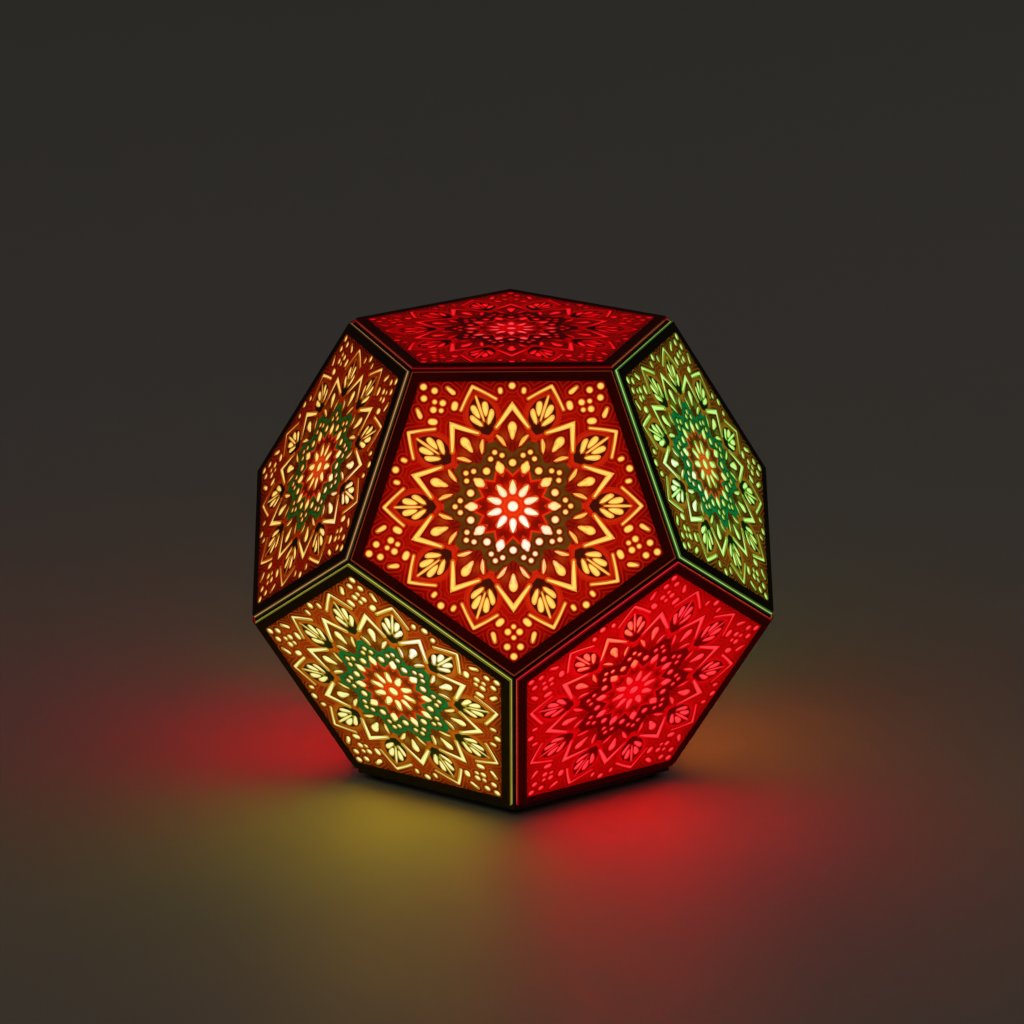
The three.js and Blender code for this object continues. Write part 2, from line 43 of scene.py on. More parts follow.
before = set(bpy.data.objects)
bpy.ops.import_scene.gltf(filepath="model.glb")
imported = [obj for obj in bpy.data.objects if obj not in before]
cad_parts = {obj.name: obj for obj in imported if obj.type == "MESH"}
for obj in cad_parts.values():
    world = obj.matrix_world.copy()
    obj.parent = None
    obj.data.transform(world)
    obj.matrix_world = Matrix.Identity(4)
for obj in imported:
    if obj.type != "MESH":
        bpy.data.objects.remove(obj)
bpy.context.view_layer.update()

MM = 0.001
SIDES = 5
FACE_TURN = 2 * math.pi / SIDES
CORNER_SHARE = 1 / math.cos(FACE_TURN / 2)  # a pentagon's corner radius over its apothem
UPPER_TILT = math.atan(2)  # from +Z to an upper panel's normal
LOWER_TILT = math.pi - UPPER_TILT
MITRE_SHARE = (math.sqrt(5) - 1) / 2  # a dodecahedron's face apothem over its inradius
BLACK = (0.0, 0.0, 0.0, 1.0)
DUST_COLOUR = (0.42, 0.4, 0.37, 1.0)

NEAR = 0.01 * MM  # heights closer than this are the same
SMALL_EDGE = 0.12 * MM  # rounding of the frames and the contact strips
SHEET_GAP = 0.06 * MM  # between the pane's field and the print
PANE_CLEARANCE = 0.02 * MM  # between the pane's ledge and the border
PRINT_SEAT = 0.4 * MM  # how far the print reaches into the border
FRAME_SEAM = 0.005 * MM  # from a frame's side to the mitre plane
LONGEST_EDGE = 12 * MM  # in the flat sides of a domed sheet
LAMP_REACH = 430.0  # of the lamp's hot middle, in thousandths of the art radius
CELLS, SCREWS = 3, 4


# Places taken from the packed model

def centre_of(node):
    low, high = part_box(node)
    return (low + high) / 2


def round_size(node):
    """Radius, bottom and top of a round upright piece, in millimetres."""
    low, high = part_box(node)
    return (high.x - low.x) / 2 / MM, low.z / MM, high.z / MM


PLATE_LOW, PLATE_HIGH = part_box("plate_top")
PLATE_APOTHEM = -PLATE_LOW.y
PLATE_CORNER = PLATE_APOTHEM * CORNER_SHARE
LANTERN_CENTRE = centre_of("light_core").to_2d().to_3d()
LANTERN_CENTRE.z = (PLATE_HIGH.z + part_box("bottom_plate")[0].z) / 2
PLATE_FACE = PLATE_HIGH.z - LANTERN_CENTRE.z  # from the centre to the plates' outer face
PANE_BACK, PANE_FACE = (corner.z - LANTERN_CENTRE.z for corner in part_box("diffuser_top"))
FRAME_BACK, FRAME_FACE = (corner.z - LANTERN_CENTRE.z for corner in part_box("frame_top"))
FRAME_OPENING = min(
    (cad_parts["frame_top"].matrix_world @ vert.co).to_2d().length / CORNER_SHARE
    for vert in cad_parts["frame_top"].data.vertices
)

# Each lit panel: spin and tilt, which stand it in its face, its light's colour, and where the
# lamp's glow is strongest, in shares of the art radius
PANELS = {
    "top": (0, 0, "red", (0, 0.1)),
    "upper_front": (0, UPPER_TILT, "amber", (0, -0.14)),
    "upper_right": (1, UPPER_TILT, "green", (-0.42, 0)),
    "upper_rear_right": (2, UPPER_TILT, "amber", (0, 0)),
    "upper_rear_left": (3, UPPER_TILT, "red", (0, 0)),
    "upper_left": (4, UPPER_TILT, "yellow", (0.42, 0)),
    "lower_front_right": (0.5, LOWER_TILT, "rose", (0.28, -0.36)),
    "lower_right": (1.5, LOWER_TILT, "amber", (0, 0)),
    "lower_rear": (2.5, LOWER_TILT, "green", (0, 0)),
    "lower_left": (3.5, LOWER_TILT, "red", (0, 0)),
    "lower_front_left": (4.5, LOWER_TILT, "lime", (-0.3, -0.36)),
}

# Colours of the lit panels, as hex values of what the eye sees, in the order of the parts
TINT_PARTS = (
    "window", "hot", "fringe", "ground", "band", "wreath", "ring",
    "patch", "petal", "shade", "rim", "ledge", "border", "cast",
)
PRINT_PARTS = TINT_PARTS[2:10]
TINTS = {
    "amber": "ffe266 fffff0 f86e1c ac0a00 d02408 663a0c f8380e "
             "401204 880c02 760200 b04e22 782810 280200 ae5d0d",
    "yellow": "fee276 fffcb8 d27010 7a0c00 922400 1e4c12 e04010 "
              "140c02 541400 3c0400 dca466 2c1605 0c0400 b07014",
    "lime": "fcffac fffff2 dccc40 9c3206 b65c0e 146c2a ea420a "
            "182404 703000 601400 e2e25e 70661c 120b00 b69a1c",
    "green": "ceff90 fcffe4 88ea4c 643805 8e6612 027434 d45c14 "
             "0a1c04 402a00 2c1000 b8ff80 2c5014 060400 58b020",
    "red": "ff1822 ff545a b8000a 800000 ac0002 3c0002 d80008 "
           "200000 5e0000 480000 a8040c 340002 180000 ff0704",
    "rose": "ff424c ff8a5c f61018 c20404 e0040a 700002 f6020e "
            "660000 a60202 960000 ff2430 6c0408 280000 ff0704",
}

# The mandala's windows as fields for the print's colours: the first axis and the step between
# axes in degrees, round windows [out, across, radius] and long ones [out, across, out, across,
# half width], in thousandths of the art radius
WINDOW_FIELDS = [
    (
        90, 36,
        [(0, 0, 32), (281, 0, 22), (514, 0, 26)],
        [(96, 0, 150, 0, 18), (455, 0, 514, 0, 13), (399, 53, 452, 95, 7),
         (648, 4, 510, 102, 12)],
    ),
    (
        108, 36,
        [(262, 0, 26), (366, 0, 15), (333, 38, 15)],
        [(238, 0, 292, 0, 12), (580, 0, 748, 0, 5), (625, 24, 682, 38, 16),
         (566, 26, 618, 63, 13), (812, 4, 692, 118, 8)],
    ),
    (
        -90, 72,
        [(768, 0, 14), (802, 37, 19), (838, 0, 14), (897, 42, 19), (958, 0, 20)],
        [(734, 79, 748, 94, 18), (862, 119, 816, 131, 11)],
    ),
    (90, 72, [(780, 0, 20)], [(741, 74, 755, 76, 13)]),
]


# Settings that a user would change

def linear(hex_value):
    """Colour as light, from the hex value that the eye sees."""
    parts = [int(hex_value[i : i + 2], 16) / 255 for i in (0, 2, 4)]
    return [p / 12.92 if p <= 0.04045 else ((p + 0.055) / 1.055) ** 2.4 for p in parts]


def tint_settings(light, values):
    """Property group with one colour for each part of a panel."""
    fields = {
        part: FloatVectorProperty(
            name=part.capitalize(), description=f"Colour of the {part} in the panels lit {light}",
            default=linear(value), size=3, min=0, max=1, subtype="COLOR",
        )
        for part, value in zip(TINT_PARTS, values.split())
    }
    members = {"__doc__": f"Colours of the {light} panels", "__annotations__": fields}
    return type("Lantern_PG_" + light, (PropertyGroup,), members)


TINT_CLASSES = {light: tint_settings(light, values) for light, values in TINTS.items()}


def length_setting(name, description, default):
    return FloatProperty(
        name=name, description=description, default=default, min=0, unit="LENGTH", precision=5
    )


class Lantern_PG_sizes(PropertyGroup):
    """Sizes of the panels and strength of the lights"""

    art_border: length_setting("Art border", "Plain black margin round the mandala", 4.6 * MM)
    print_thickness: length_setting("Print", "Thickness of the pierced coloured sheet", 0.35 * MM)
    print_recess: length_setting("Recess", "Depth of the print below the border", 0.07 * MM)
    crown: length_setting("Crown", "Depth of a panel's outer part below its middle", 0.95 * MM)
    ledge: length_setting("Ledge", "Strip of the pane that stands out round the border", 0.45 * MM)
    edge_round: length_setting("Edge round", "Rounding of the sheets' edges", 0.15 * MM)
    floor_size: length_setting("Floor", "Side of the square floor", 24.0)
    studio_light: FloatProperty(
        name="Studio light", description="Strength of the soft surrounding light",
        default=0.035, min=0,
    )
    floor_glow: FloatProperty(
        name="Floor glow", description="How much more the panes light the floor",
        default=8.0, min=1,
    )


class Lantern_PG_settings(PropertyGroup):
    """All settings of the lantern"""

    __annotations__ = {
        "sizes": PointerProperty(type=Lantern_PG_sizes, name="Sizes", description="Sizes"),
        **{
            light: PointerProperty(type=group, name=light, description="Colours of " + light)
            for light, group in TINT_CLASSES.items()
        },
    }


def settings():
    return bpy.context.scene.lantern


def sizes():
    return settings().sizes


def tint(light, part, share=1.0):
    """Colour of a part of the panels with this light, or a darker share of it."""
    return (*(share * c for c in getattr(getattr(settings(), light), part)), 1.0)


def art_apothem():
    return PLATE_APOTHEM - sizes().art_border


def art_radius():
    return art_apothem() * CORNER_SHARE


def set_up(thing, **options):
    for option, value in options.items():
        setattr(thing, option, value)
    return thing


# Sums in node trees

class Term:
    """Output of a node. Sums of terms and numbers are written as in Python."""

    def __init__(self, socket):
        self.socket = socket
        self.tree = socket.id_data

    def __add__(self, other):
        return maths("ADD", self, other)

    def __sub__(self, other):
        return maths("SUBTRACT", self, other)

    def __rsub__(self, other):
        return maths("SUBTRACT", other, self)

    def __mul__(self, other):
        return maths("MULTIPLY", self, other)

    def __abs__(self):
        return maths("ABSOLUTE", self)


def feed(socket, value):
    """Link a term to a socket, or set a plain value on it."""
    if isinstance(value, Term):
        value.tree.links.new(value.socket, socket)
    elif value is not None:
        socket.default_value = value


def feed_named(made, **values):
    """Feed a node's sockets by their names, with a low line for a space."""
    for label, value in values.items():
        feed(made.inputs[label.replace("_", " ")], value)


def new_node(tree, kind, *values, **options):
    """Node with its options set and its sockets fed in order."""
    made = set_up(tree.nodes.new("ShaderNode" + kind), **options)
    for socket, value in zip(made.inputs, values):
        feed(socket, value)
    return made


def source(tree, kind, output=0, **options):
    """Output of a new node that nothing feeds."""
    return Term(new_node(tree, kind, **options).outputs[output])


def term(kind, *values, output=0, **options):
    """Output of a new node, in the tree of the terms that feed it."""
    tree = next(value.tree for value in values if isinstance(value, Term))
    return Term(new_node(tree, kind, *values, **options).outputs[output])


def maths(operation, *values):
    return term("Math", *values, operation=operation)


def vector_maths(operation, *values, output="Vector"):
    return term("VectorMath", *values, output=output, operation=operation)


def least(*terms):
    return functools.reduce(functools.partial(maths, "MINIMUM"), terms)


def most(*terms):
    return functools.reduce(functools.partial(maths, "MAXIMUM"), terms)


def mapped(value, low, high, to_low, to_high, kind="LINEAR"):
    return term("MapRange", value, low, high, to_low, to_high, interpolation_type=kind)


def fade(value, low, high, soft=True):
    """0 at low, 1 at high."""
    return mapped(value, low, high, 0.0, 1.0, "SMOOTHSTEP" if soft else "LINEAR")


def inside(distance, edge=4.0):
    """1 where a signed distance is below zero, with a soft edge."""
    return fade(distance, edge / 2, -edge / 2)


def blend(factor, a, b):
    """Colour a, or b where the factor is 1."""
    return term("Mix", factor, *[None] * 5, a, b, output=2, data_type="RGBA")


def noise(vector, scale, detail=3.0):
    return term("TexNoise", vector, None, scale, detail, 0.55)


def clouds(tree, scale, darkest):
    """Soft clouds on the object, between darkest and 1."""
    return mapped(noise(source(tree, "TexCoord", "Object"), scale), 0.3, 0.7, darkest, 1.0)


def far(x, y, x0=0.0, y0=0.0):
    """Distance from the point (x0, y0)."""
    return maths("SQRT", maths("POWER", x - x0, 2) + maths("POWER", y - y0, 2))


def beyond(x, y, start, end):
    """Signed distance from the line through two points, below zero on the origin's side."""
    start, along = Vector(start), Vector(end) - Vector(start)
    normal = Vector((-along.y, along.x)).normalized()
    if normal.dot(start) < 0:
        normal.negate()
    return x * normal.x + y * normal.y - normal.dot(start)


def round_window(place, at, size):
    """Distance from the edge of a round window."""
    return vector_maths("DISTANCE", place, (*at, 0.0), output="Value") - size


def long_window(place, start, end, size):
    """Distance from the edge of a long window with round ends."""
    run = (Vector(end) - Vector(start)).to_3d()
    away = vector_maths("SUBTRACT", place, (*start, 0.0))
    share = vector_maths("DOT_PRODUCT", away, run / run.length_squared, output="Value")
    share = term("Math", share, 0.0, operation="ADD", use_clamp=True)
    foot = vector_maths("SCALE", run, None, None, share)
    return vector_maths("DISTANCE", away, foot, output="Value") - size


def folded(x, y, start, step):
    """Coordinates along and across the nearest of the axes that stand a step apart."""
    radius = far(x, y)
    turn = maths("PINGPONG", maths("ARCTAN2", y, x) - (start - 4 * math.pi), step / 2)
    return radius * maths("COSINE", turn), radius * maths("SINE", turn)


def panel_place(uv):
    """Place on the panel in thousandths of the art radius, from the piece's own UV map."""
    unit = 2000 * PLATE_CORNER / art_radius()
    split = new_node(uv.tree, "SeparateXYZ", uv).outputs
    return [(Term(split[i]) - 0.5) * unit for i in (0, 1)]


# Node groups that several materials share. Each is named after the function that builds it.

def new_group(name, inputs, outputs):
    """Empty shader node group with the named sockets, and its inputs as terms."""
    group = bpy.data.node_groups.new(name, "ShaderNodeTree")
    for way, sockets in (("INPUT", inputs), ("OUTPUT", outputs)):
        for label, kind in sockets.items():
            group.interface.new_socket(label, in_out=way, socket_type="NodeSocket" + kind)
    return group, {s.name: Term(s) for s in group.nodes.new("NodeGroupInput").outputs if s.name}


def closed_group(group, **results):
    feed_named(group.nodes.new("NodeGroupOutput"), **results)
    return group


def shared(tree, build, **values):
    """Outputs of a shared node group that is placed in a material and fed."""
    group = bpy.data.node_groups.get(build.__name__) or build()
    made = new_node(tree, "Group", node_tree=group)
    feed_named(made, **values)
    return {socket.name: Term(socket) for socket in made.outputs}


def window_distance():
    """Distance from the edge of the nearest window, below zero inside it."""
    group, given = new_group("window_distance", {"UV": "Vector"}, {"Distance": "Float"})
    x, y = panel_place(given["UV"])
    found = []
    for first, step, rounds, longs in WINDOW_FIELDS:
        place = term("CombineXYZ", *folded(x, y, math.radians(first), math.radians(step)))
        found += [round_window(place, at, size) for *at, size in rounds]
        found += [long_window(place, bar[:2], bar[2:4], bar[4]) for bar in longs]
    return closed_group(group, Distance=least(*found))


def mandala_print():
    """Colours printed on the pierced sheet. All sizes are thousandths of the art radius."""
    inputs = {"UV": "Vector", "Distance": "Float"} | dict.fromkeys(PRINT_PARTS, "Color")
    group, given = new_group("mandala_print", inputs, {"Color": "Color"})
    fringe, ground, band, wreath, ring, patch, petal, shade = (given[p] for p in PRINT_PARTS)
    away = given["Distance"]
    x, y = panel_place(given["UV"])
    up, step = math.pi / 2, FACE_TURN / 2
    u, v = folded(x, y, up, step)  # along and across a petal's axis
    p, q = folded(x, y, up + step / 2, step)  # along and across a leaf spray's axis
    side_distance = folded(x, y, up, FACE_TURN)[0]
    mottle = noise(given["UV"], 26.0)

    # Outer ground, darker towards the border, with lines that echo the windows' outlines
    colour = blend(fade(side_distance, 700, 815), ground, shade)
    colour = blend(fade(mottle, 0.42, 0.72) * 0.55, colour, shade)
    echo = fade(maths("COSINE", (away - 26.0) * (2 * math.pi / 25)), -0.2, 0.9)
    echo *= fade(away, 95.0, 30.0, soft=False)
    colour = blend(echo * 0.5, colour, band)

    # Petals: dark, with fine veins and a warm glow low in each
    inner = blend(echo * 0.2, petal, band)
    inner = blend(fade(far(u, v, 452, 50), 55, 10) * 0.13, inner, fringe)
    root = fade(abs(v - 14), 12, 4) * fade(u, 440, 400)
    inner = blend(root * 0.5, inner, patch)
    colour = blend(inside(beyond(u, v, (694, 0), (476, 130)), 6.0), colour, inner)

    # Leaf sprays: a pointed oval dark ground in a bright band that runs down to the wreath
    oval_side = far(p, q, 614, -59) - 144
    stem = most(q - 18.0, p - 520, 415 - p)
    colour = blend(inside(least(oval_side - 36.0, stem), 8.0), colour, band)
    colour = blend(inside(abs(oval_side - 27.0) - 2.0, 8.0) * 0.5, colour, shade)
    colour = blend(inside(oval_side, 8.0), colour, patch)

    # Wreath: a ten-pointed star with blunt points, dark round its windows
    wreath_side = most(beyond(u, v, (343, 0), (413, 89)), p - 436)
    leafy = blend(fade(mottle, 0.4, 0.66) * 0.4, wreath, patch)
    leafy = blend(fade(away, 22, 7) * 0.85, leafy, patch)
    colour = blend(inside(wreath_side, 8.0), colour, leafy)

    # Star: a red field with a bright zigzag edge and dark diamonds in its points
    star = most(beyond(u, v, (197, 0), (241, 45)), beyond(u, v, (241, 45), (195, 63)))
    field = blend(fade(far(x, y), 170, 70), ground, ring)
    diamond = far((p - 192) * 1.1, q) - 32
    field = blend(inside(diamond, 28.0) * 0.6, field, patch)
    colour = blend(inside(star - 7.0), colour, blend(0.35, ring, ground))
    colour = blend(inside(star + 6.0), colour, field)

    # Light that creeps in from the windows' edges, and the black border
    halo = fade(away, 22.0, 12.0) * fade(away, 4.0, 11.0) * 0.35
    colour = blend(halo, colour, shade)
    colour = blend(fade(away, 8.0, 0.0, soft=False) * 0.7, colour, fringe)
    colour = blend(fade(side_distance, 806, 810), colour, BLACK)
    return closed_group(group, Color=colour)


def lamp_spread():
    """How the light from the core spreads over a panel: strongest at one place, weaker outwards."""
    inputs = {"UV": "Vector", "Color": "Color", "Hot color": "Color"}
    inputs |= dict.fromkeys(("Place X", "Place Y", "Edge level"), "Float")
    group, given = new_group("lamp_spread", inputs, {"Color": "Color"})
    x, y = panel_place(given["UV"])
    away = far(x, y, given["Place X"], given["Place Y"])
    warm = blend(fade(away, LAMP_REACH, 60.0), given["Color"], given["Hot color"])
    level = mapped(fade(away, 1300.0, 300.0, soft=False), 0.0, 1.0, given["Edge level"], 1.0)
    return closed_group(group, Color=blend(level, BLACK, warm))


def fine_grain():
    """Moulded or cut surface: fine grain, slow mottle, and dust that lies on faces that look up."""
    inputs = {"Vector": "Vector", "Color": "Color"}
    inputs |= dict.fromkeys(("Grain scale", "Mottle", "Roughness", "Dust"), "Float")
    outputs = {"Color": "Color", "Roughness": "Float", "Height": "Float"}
    group, given = new_group("fine_grain", inputs, outputs)
    grain = noise(given["Vector"], given["Grain scale"], 2.0)
    slow = noise(given["Vector"], 45.0, 4.0)
    colour = blend(mapped(slow, 0.3, 0.7, 1.0 - given["Mottle"], 1.0), BLACK, given["Color"])
    upward = term("SeparateXYZ", source(group, "NewGeometry", "Normal"), output=2)
    dust = fade(upward, 0.4, 1.0) * given["Dust"] * fade(grain, 0.4, 0.7)
    rough = given["Roughness"] + (slow - 0.5) * 0.22 + dust * 0.3
    colour = blend(dust, colour, DUST_COLOUR)
    return closed_group(group, Color=colour, Roughness=rough, Height=grain)


# Materials

def built_once(build):
    """Look a material up by its name, and build it where there is none."""
    def found(name, *values):
        return bpy.data.materials.get(name) or build(name, *values)
    return found


def new_material(name):
    """Material, its node tree and its Principled shader."""
    material = bpy.data.materials.new(name)
    material.use_nodes = True
    return material, material.node_tree, principled(material)


def principled(material):
    return material.node_tree.nodes["Principled BSDF"]


def emit(shader, colour, strength, base, roughness, specular=None):
    """Light that the surface gives off, and the surface under it."""
    feed_named(
        shader, Emission_Color=colour, Emission_Strength=strength, Base_Color=base,
        Roughness=roughness, Specular_IOR_Level=specular,
    )


def panel_uv(tree):
    return source(tree, "UVMap", uv_map="panel")


@built_once
def grained(name, rgb, roughness, grain=2500.0, mottle=0.2, bump=0.1, dust=0.0, metallic=0.0):
    """Solid material with grain, mottle and dust from the shared group."""
    material, tree, shader = new_material(name)
    made = shared(
        tree, fine_grain, Vector=source(tree, "TexCoord", "Object"), Color=(*rgb, 1.0),
        Grain_scale=grain, Mottle=mottle, Roughness=roughness, Dust=dust,
    )
    feed_named(shader, Base_Color=made["Color"], Roughness=made["Roughness"], Metallic=metallic)
    if bump:
        relief = new_node(tree, "Bump")
        feed_named(relief, Strength=bump, Distance=0.0002, Height=made["Height"])
        feed_named(shader, Normal=Term(relief.outputs["Normal"]))
    return material


def lamp_light(tree, face, colour, hot, edge_level):
    """Colour of a panel under the lamp's light."""
    spot = PANELS[face][3]
    return shared(
        tree, lamp_spread, UV=panel_uv(tree), Place_X=1000.0 * spot[0], Place_Y=1000.0 * spot[1],
        Color=colour, Hot_color=hot, Edge_level=edge_level,
    )["Color"]


@built_once
def glow_material(name, face):
    """Translucent pane behind the print. It lights the floor more than it shows."""
    light = PANELS[face][2]
    material, tree, shader = new_material(name)
    lit = lamp_light(tree, face, tint(light, "window"), tint(light, "hot"), 0.9)
    away = shared(tree, window_distance, UV=panel_uv(tree))["Distance"]
    # Painted glow in the fringe colour just inside each window's edge, where light creeps round the
    # cut
    colour = blend(fade(away, -8.0, 2.0, soft=False) * 0.6, lit, tint(light, "fringe"))
    spread = sizes().floor_glow
    seen = vector_maths("SCALE", colour, None, None, 1 / spread)
    direct = source(tree, "LightPath", "Is Camera Ray")
    colour = blend(direct, tint(light, "cast"), seen)
    emit(shader, colour, spread, tint(light, "window", 0.1), 0.45)
    return material


@built_once
def lit_material(name, light, base_share, roughness, scale, darkest, strength):
    """Frosted surface, evenly lit, with faint clouds."""
    material, tree, shader = new_material(name)
    colour = blend(clouds(tree, scale, darkest), BLACK, tint(light, "window"))
    emit(shader, colour, strength, tint(light, "window", base_share), roughness)
    return material


@built_once
def rim_material(name, light):
    """Side of the pane, brightest half way through its thickness, where light leaves the joint."""
    material, tree, shader = new_material(name)
    depth = term("SeparateXYZ", source(tree, "UVMap", uv_map="depth"), output=1)
    core = fade(abs(depth - 0.5), 0.19, 0.04)
    level = clouds(tree, 60.0, 0.75) * mapped(core, 0.0, 1.0, 0.12, 1.0)
    colour = blend(level, BLACK, tint(light, "rim"))
    colour = blend(fade(depth, 0.9, 1.0), colour, tint(light, "ledge"))
    emit(shader, colour, 1.0, tint(light, "rim", 0.15), 0.35)
    return material


@built_once
def dark_print(name, light, part):
    """Print that lets little light through: the black border, and the sides of the windows."""
    material = grained(name, (0.009, 0.006, 0.005), 0.5, 3200.0, 0.3, 0.12)
    colour = blend(clouds(material.node_tree, 35.0, 0.6), BLACK, tint(light, part))
    emit(principled(material), colour, 1.0, None, None, 0.06)
    return material


@built_once
def print_material(name, face):
    """Pierced coloured sheet of one panel, with the pane's light coming through it."""
    light = PANELS[face][2]
    material, tree, shader = new_material(name)
    uv = panel_uv(tree)
    away = shared(tree, window_distance, UV=uv)["Distance"]
    tints = {part: tint(light, part) for part in PRINT_PARTS}
    colour = shared(tree, mandala_print, UV=uv, Distance=away, **tints)["Color"]
    lit = lamp_light(tree, face, colour, colour, 0.7)
    emit(shader, lit, 1.0, blend(0.94, colour, BLACK), 0.55, 0.1)
    material.cycles.emission_sampling = "NONE"
    return material


# Meshes and pieces

# UV maps of the sheets, from a point's place: over the whole plate, and through the pane's depth
UV_PLACES = {
    "panel": lambda place: [0.5 + value / (2 * PLATE_CORNER) for value in place.xy],
    "depth": lambda place: (0.5, (place.z - PANE_BACK) / (PANE_FACE - PANE_BACK)),
}


def mesh_of(name, bm):
    """Mesh of a bmesh, which is then freed."""
    mesh = bpy.data.meshes.new(name)
    bm.to_mesh(mesh)
    bm.free()
    return mesh


def placed(name, data, matrix=Matrix()):
    """Object in the scene, at its place."""
    made = set_up(bpy.data.objects.new(name, data), matrix_world=matrix)
    bpy.context.scene.collection.objects.link(made)
    return made


def finished(name, bm, body, node, materials, smooth=None, face=None, maps=()):
    """Object from a bmesh, riding on its body and standing for its CAD node."""
    mesh = mesh_of(name, bm)
    for label in maps:
        layer = mesh.uv_layers.new(name=label)
        for loop in mesh.loops:
            layer.data[loop.index].uv = UV_PLACES[label](mesh.vertices[loop.vertex_index].co)
    if face:
        mesh.transform(panel_matrix(face))
    for material in materials:
        mesh.materials.append(material)
    if smooth:
        mesh.shade_smooth()
        mesh.set_sharp_from_angle(angle=math.radians(smooth))
    piece = placed(name, mesh)
    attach(piece, body)
    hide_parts(node)


def height_of(face):
    return face.calc_center_median().z


def parts_of(faces, kind):
    """Edges or verts of faces, each once and in the same order on every run."""
    return list(dict.fromkeys(part for face in faces for part in getattr(face, kind)))


def tidy(bm):
    bmesh.ops.remove_doubles(bm, verts=bm.verts, dist=1e-7)
    bmesh.ops.recalc_face_normals(bm, faces=bm.faces)
    return bm


def spun(profile, steps):
    """Closed shape of revolution round Z from [radius, height] pairs, in millimetres."""
    bm = bmesh.new()
    verts = [bm.verts.new((radius * MM, 0, height * MM)) for radius, height in profile]
    edges = [bm.edges.new(pair) for pair in zip(verts, verts[1:])]
    if profile[0][0] > 0 and profile[-1][0] > 0:
        edges.append(bm.edges.new((verts[-1], verts[0])))
    bmesh.ops.spin(
        bm, geom=verts + edges, cent=(0, 0, 0), axis=(0, 0, 1), angle=2 * math.pi,
        steps=steps, use_merge=True,
    )
    return tidy(bm)


def turned(name, node, bm, material, body="base"):
    """Finish a turned piece at its node's place."""
    place = centre_of(node)
    bmesh.ops.translate(bm, vec=(place.x, place.y, 0), verts=bm.verts)
    finished(name, bm, body, node, [material], smooth=35)


def moved_in(bm, part, matrix=Matrix(), material=None):
    """Add one bmesh to another, at its place."""
    bmesh.ops.transform(part, matrix=matrix, verts=part.verts)
    if material is not None:
        for face in part.faces:
            face.material_index = material
    mesh = mesh_of("part", part)
    bm.from_mesh(mesh)
    bpy.data.meshes.remove(mesh)


def arc(x, z, radius, start, end, steps=6):
    """Points of an arc round (x, z), angles in degrees."""
    angles = [math.radians(start + (end - start) * i / steps) for i in range(steps + 1)]
    return [(x + radius * math.cos(a), z + radius * math.sin(a)) for a in angles]


def block(bm, low, high):
    """Box between two corners."""
    low, high = Vector(low), Vector(high)
    made = bmesh.ops.create_cube(bm, size=1.0)["verts"]
    bmesh.ops.scale(bm, vec=high - low, verts=made)
    bmesh.ops.translate(bm, vec=(low + high) / 2, verts=made)


def rounded(bm, width, edges=None, segments=2):
    """Bevel sharp edges."""
    if edges is None:
        edges = [e for e in bm.edges if e.is_manifold and e.calc_face_angle(0) > math.radians(30)]
    bmesh.ops.bevel(
        bm, geom=edges, offset=width, offset_type="OFFSET", affect="EDGES", segments=segments,
        profile=0.5, material=-1, clamp_overlap=True,
    )


def raised(bm, faces, rise):
    """Extrude faces along Z, and take away any that stay behind."""
    out = bmesh.ops.extrude_face_region(bm, geom=faces)["geom"]
    verts = [item for item in out if isinstance(item, bmesh.types.BMVert)]
    bmesh.ops.translate(bm, vec=(0, 0, rise), verts=verts)
    left = [face for face in faces if face.is_valid]
    bmesh.ops.delete(bm, geom=left, context="FACES")


def sunk(bm, level, cuts, within, depth):
    """Recess in the flat underside at a level, bounded by planes given as [axis, offset]."""
    def underside():
        return [face for face in bm.faces if height_of(face) < level + NEAR / 10]

    for axis, offset in cuts:
        flat = underside()
        geom = flat + parts_of(flat, "edges") + parts_of(flat, "verts")
        bmesh.ops.bisect_plane(
            bm, geom=geom, dist=1e-8, plane_co=Vector(axis) * offset, plane_no=axis
        )
    inner = [face for face in underside() if within(face.calc_center_median())]
    raised(bm, inner, depth)
    bmesh.ops.recalc_face_normals(bm, faces=bm.faces)


def pentagon_slab(low, high, apothem, top_apothem):
    """Pentagonal slab with a corner towards -Y."""
    bm = bmesh.new()
    bmesh.ops.create_cone(
        bm, cap_ends=True, segments=SIDES, radius1=apothem * CORNER_SHARE,
        radius2=top_apothem * CORNER_SHARE, depth=high - low,
        matrix=Matrix.Translation((0, 0, (low + high) / 2)) @ Matrix.Rotation(math.pi, 4, "Z"),
    )
    return bm


def panel_matrix(face):
    """Stands a panel that looks along +Z in its face of the lantern."""
    spin, tilt = PANELS[face][:2]
    roll = 0 if tilt == UPPER_TILT else math.pi
    turn = Matrix.Rotation(spin * FACE_TURN, 4, "Z") @ Matrix.Rotation(tilt, 4, "X")
    return Matrix.Translation(LANTERN_CENTRE) @ turn @ Matrix.Rotation(roll, 4, "Z")


def crown_drop(place):
    """Depth of a point of the slightly domed sheets below the panel's middle."""
    reach = place.to_2d().length / (0.8 * art_radius())
    return sizes().crown * min(1, reach) ** 2


def curve_shape(curve):
    """Closed bmesh of a curve, which is then removed."""
    carrier = placed(curve.name, curve)
    bpy.context.view_layer.update()
    solid = carrier.evaluated_get(bpy.context.evaluated_depsgraph_get())
    mesh = bpy.data.meshes.new_from_object(solid)
    bpy.data.objects.remove(carrier)
    bpy.data.curves.remove(curve)
    bm = bmesh.new()
    bm.from_mesh(mesh)
    bpy.data.meshes.remove(mesh)
    return tidy(bm)


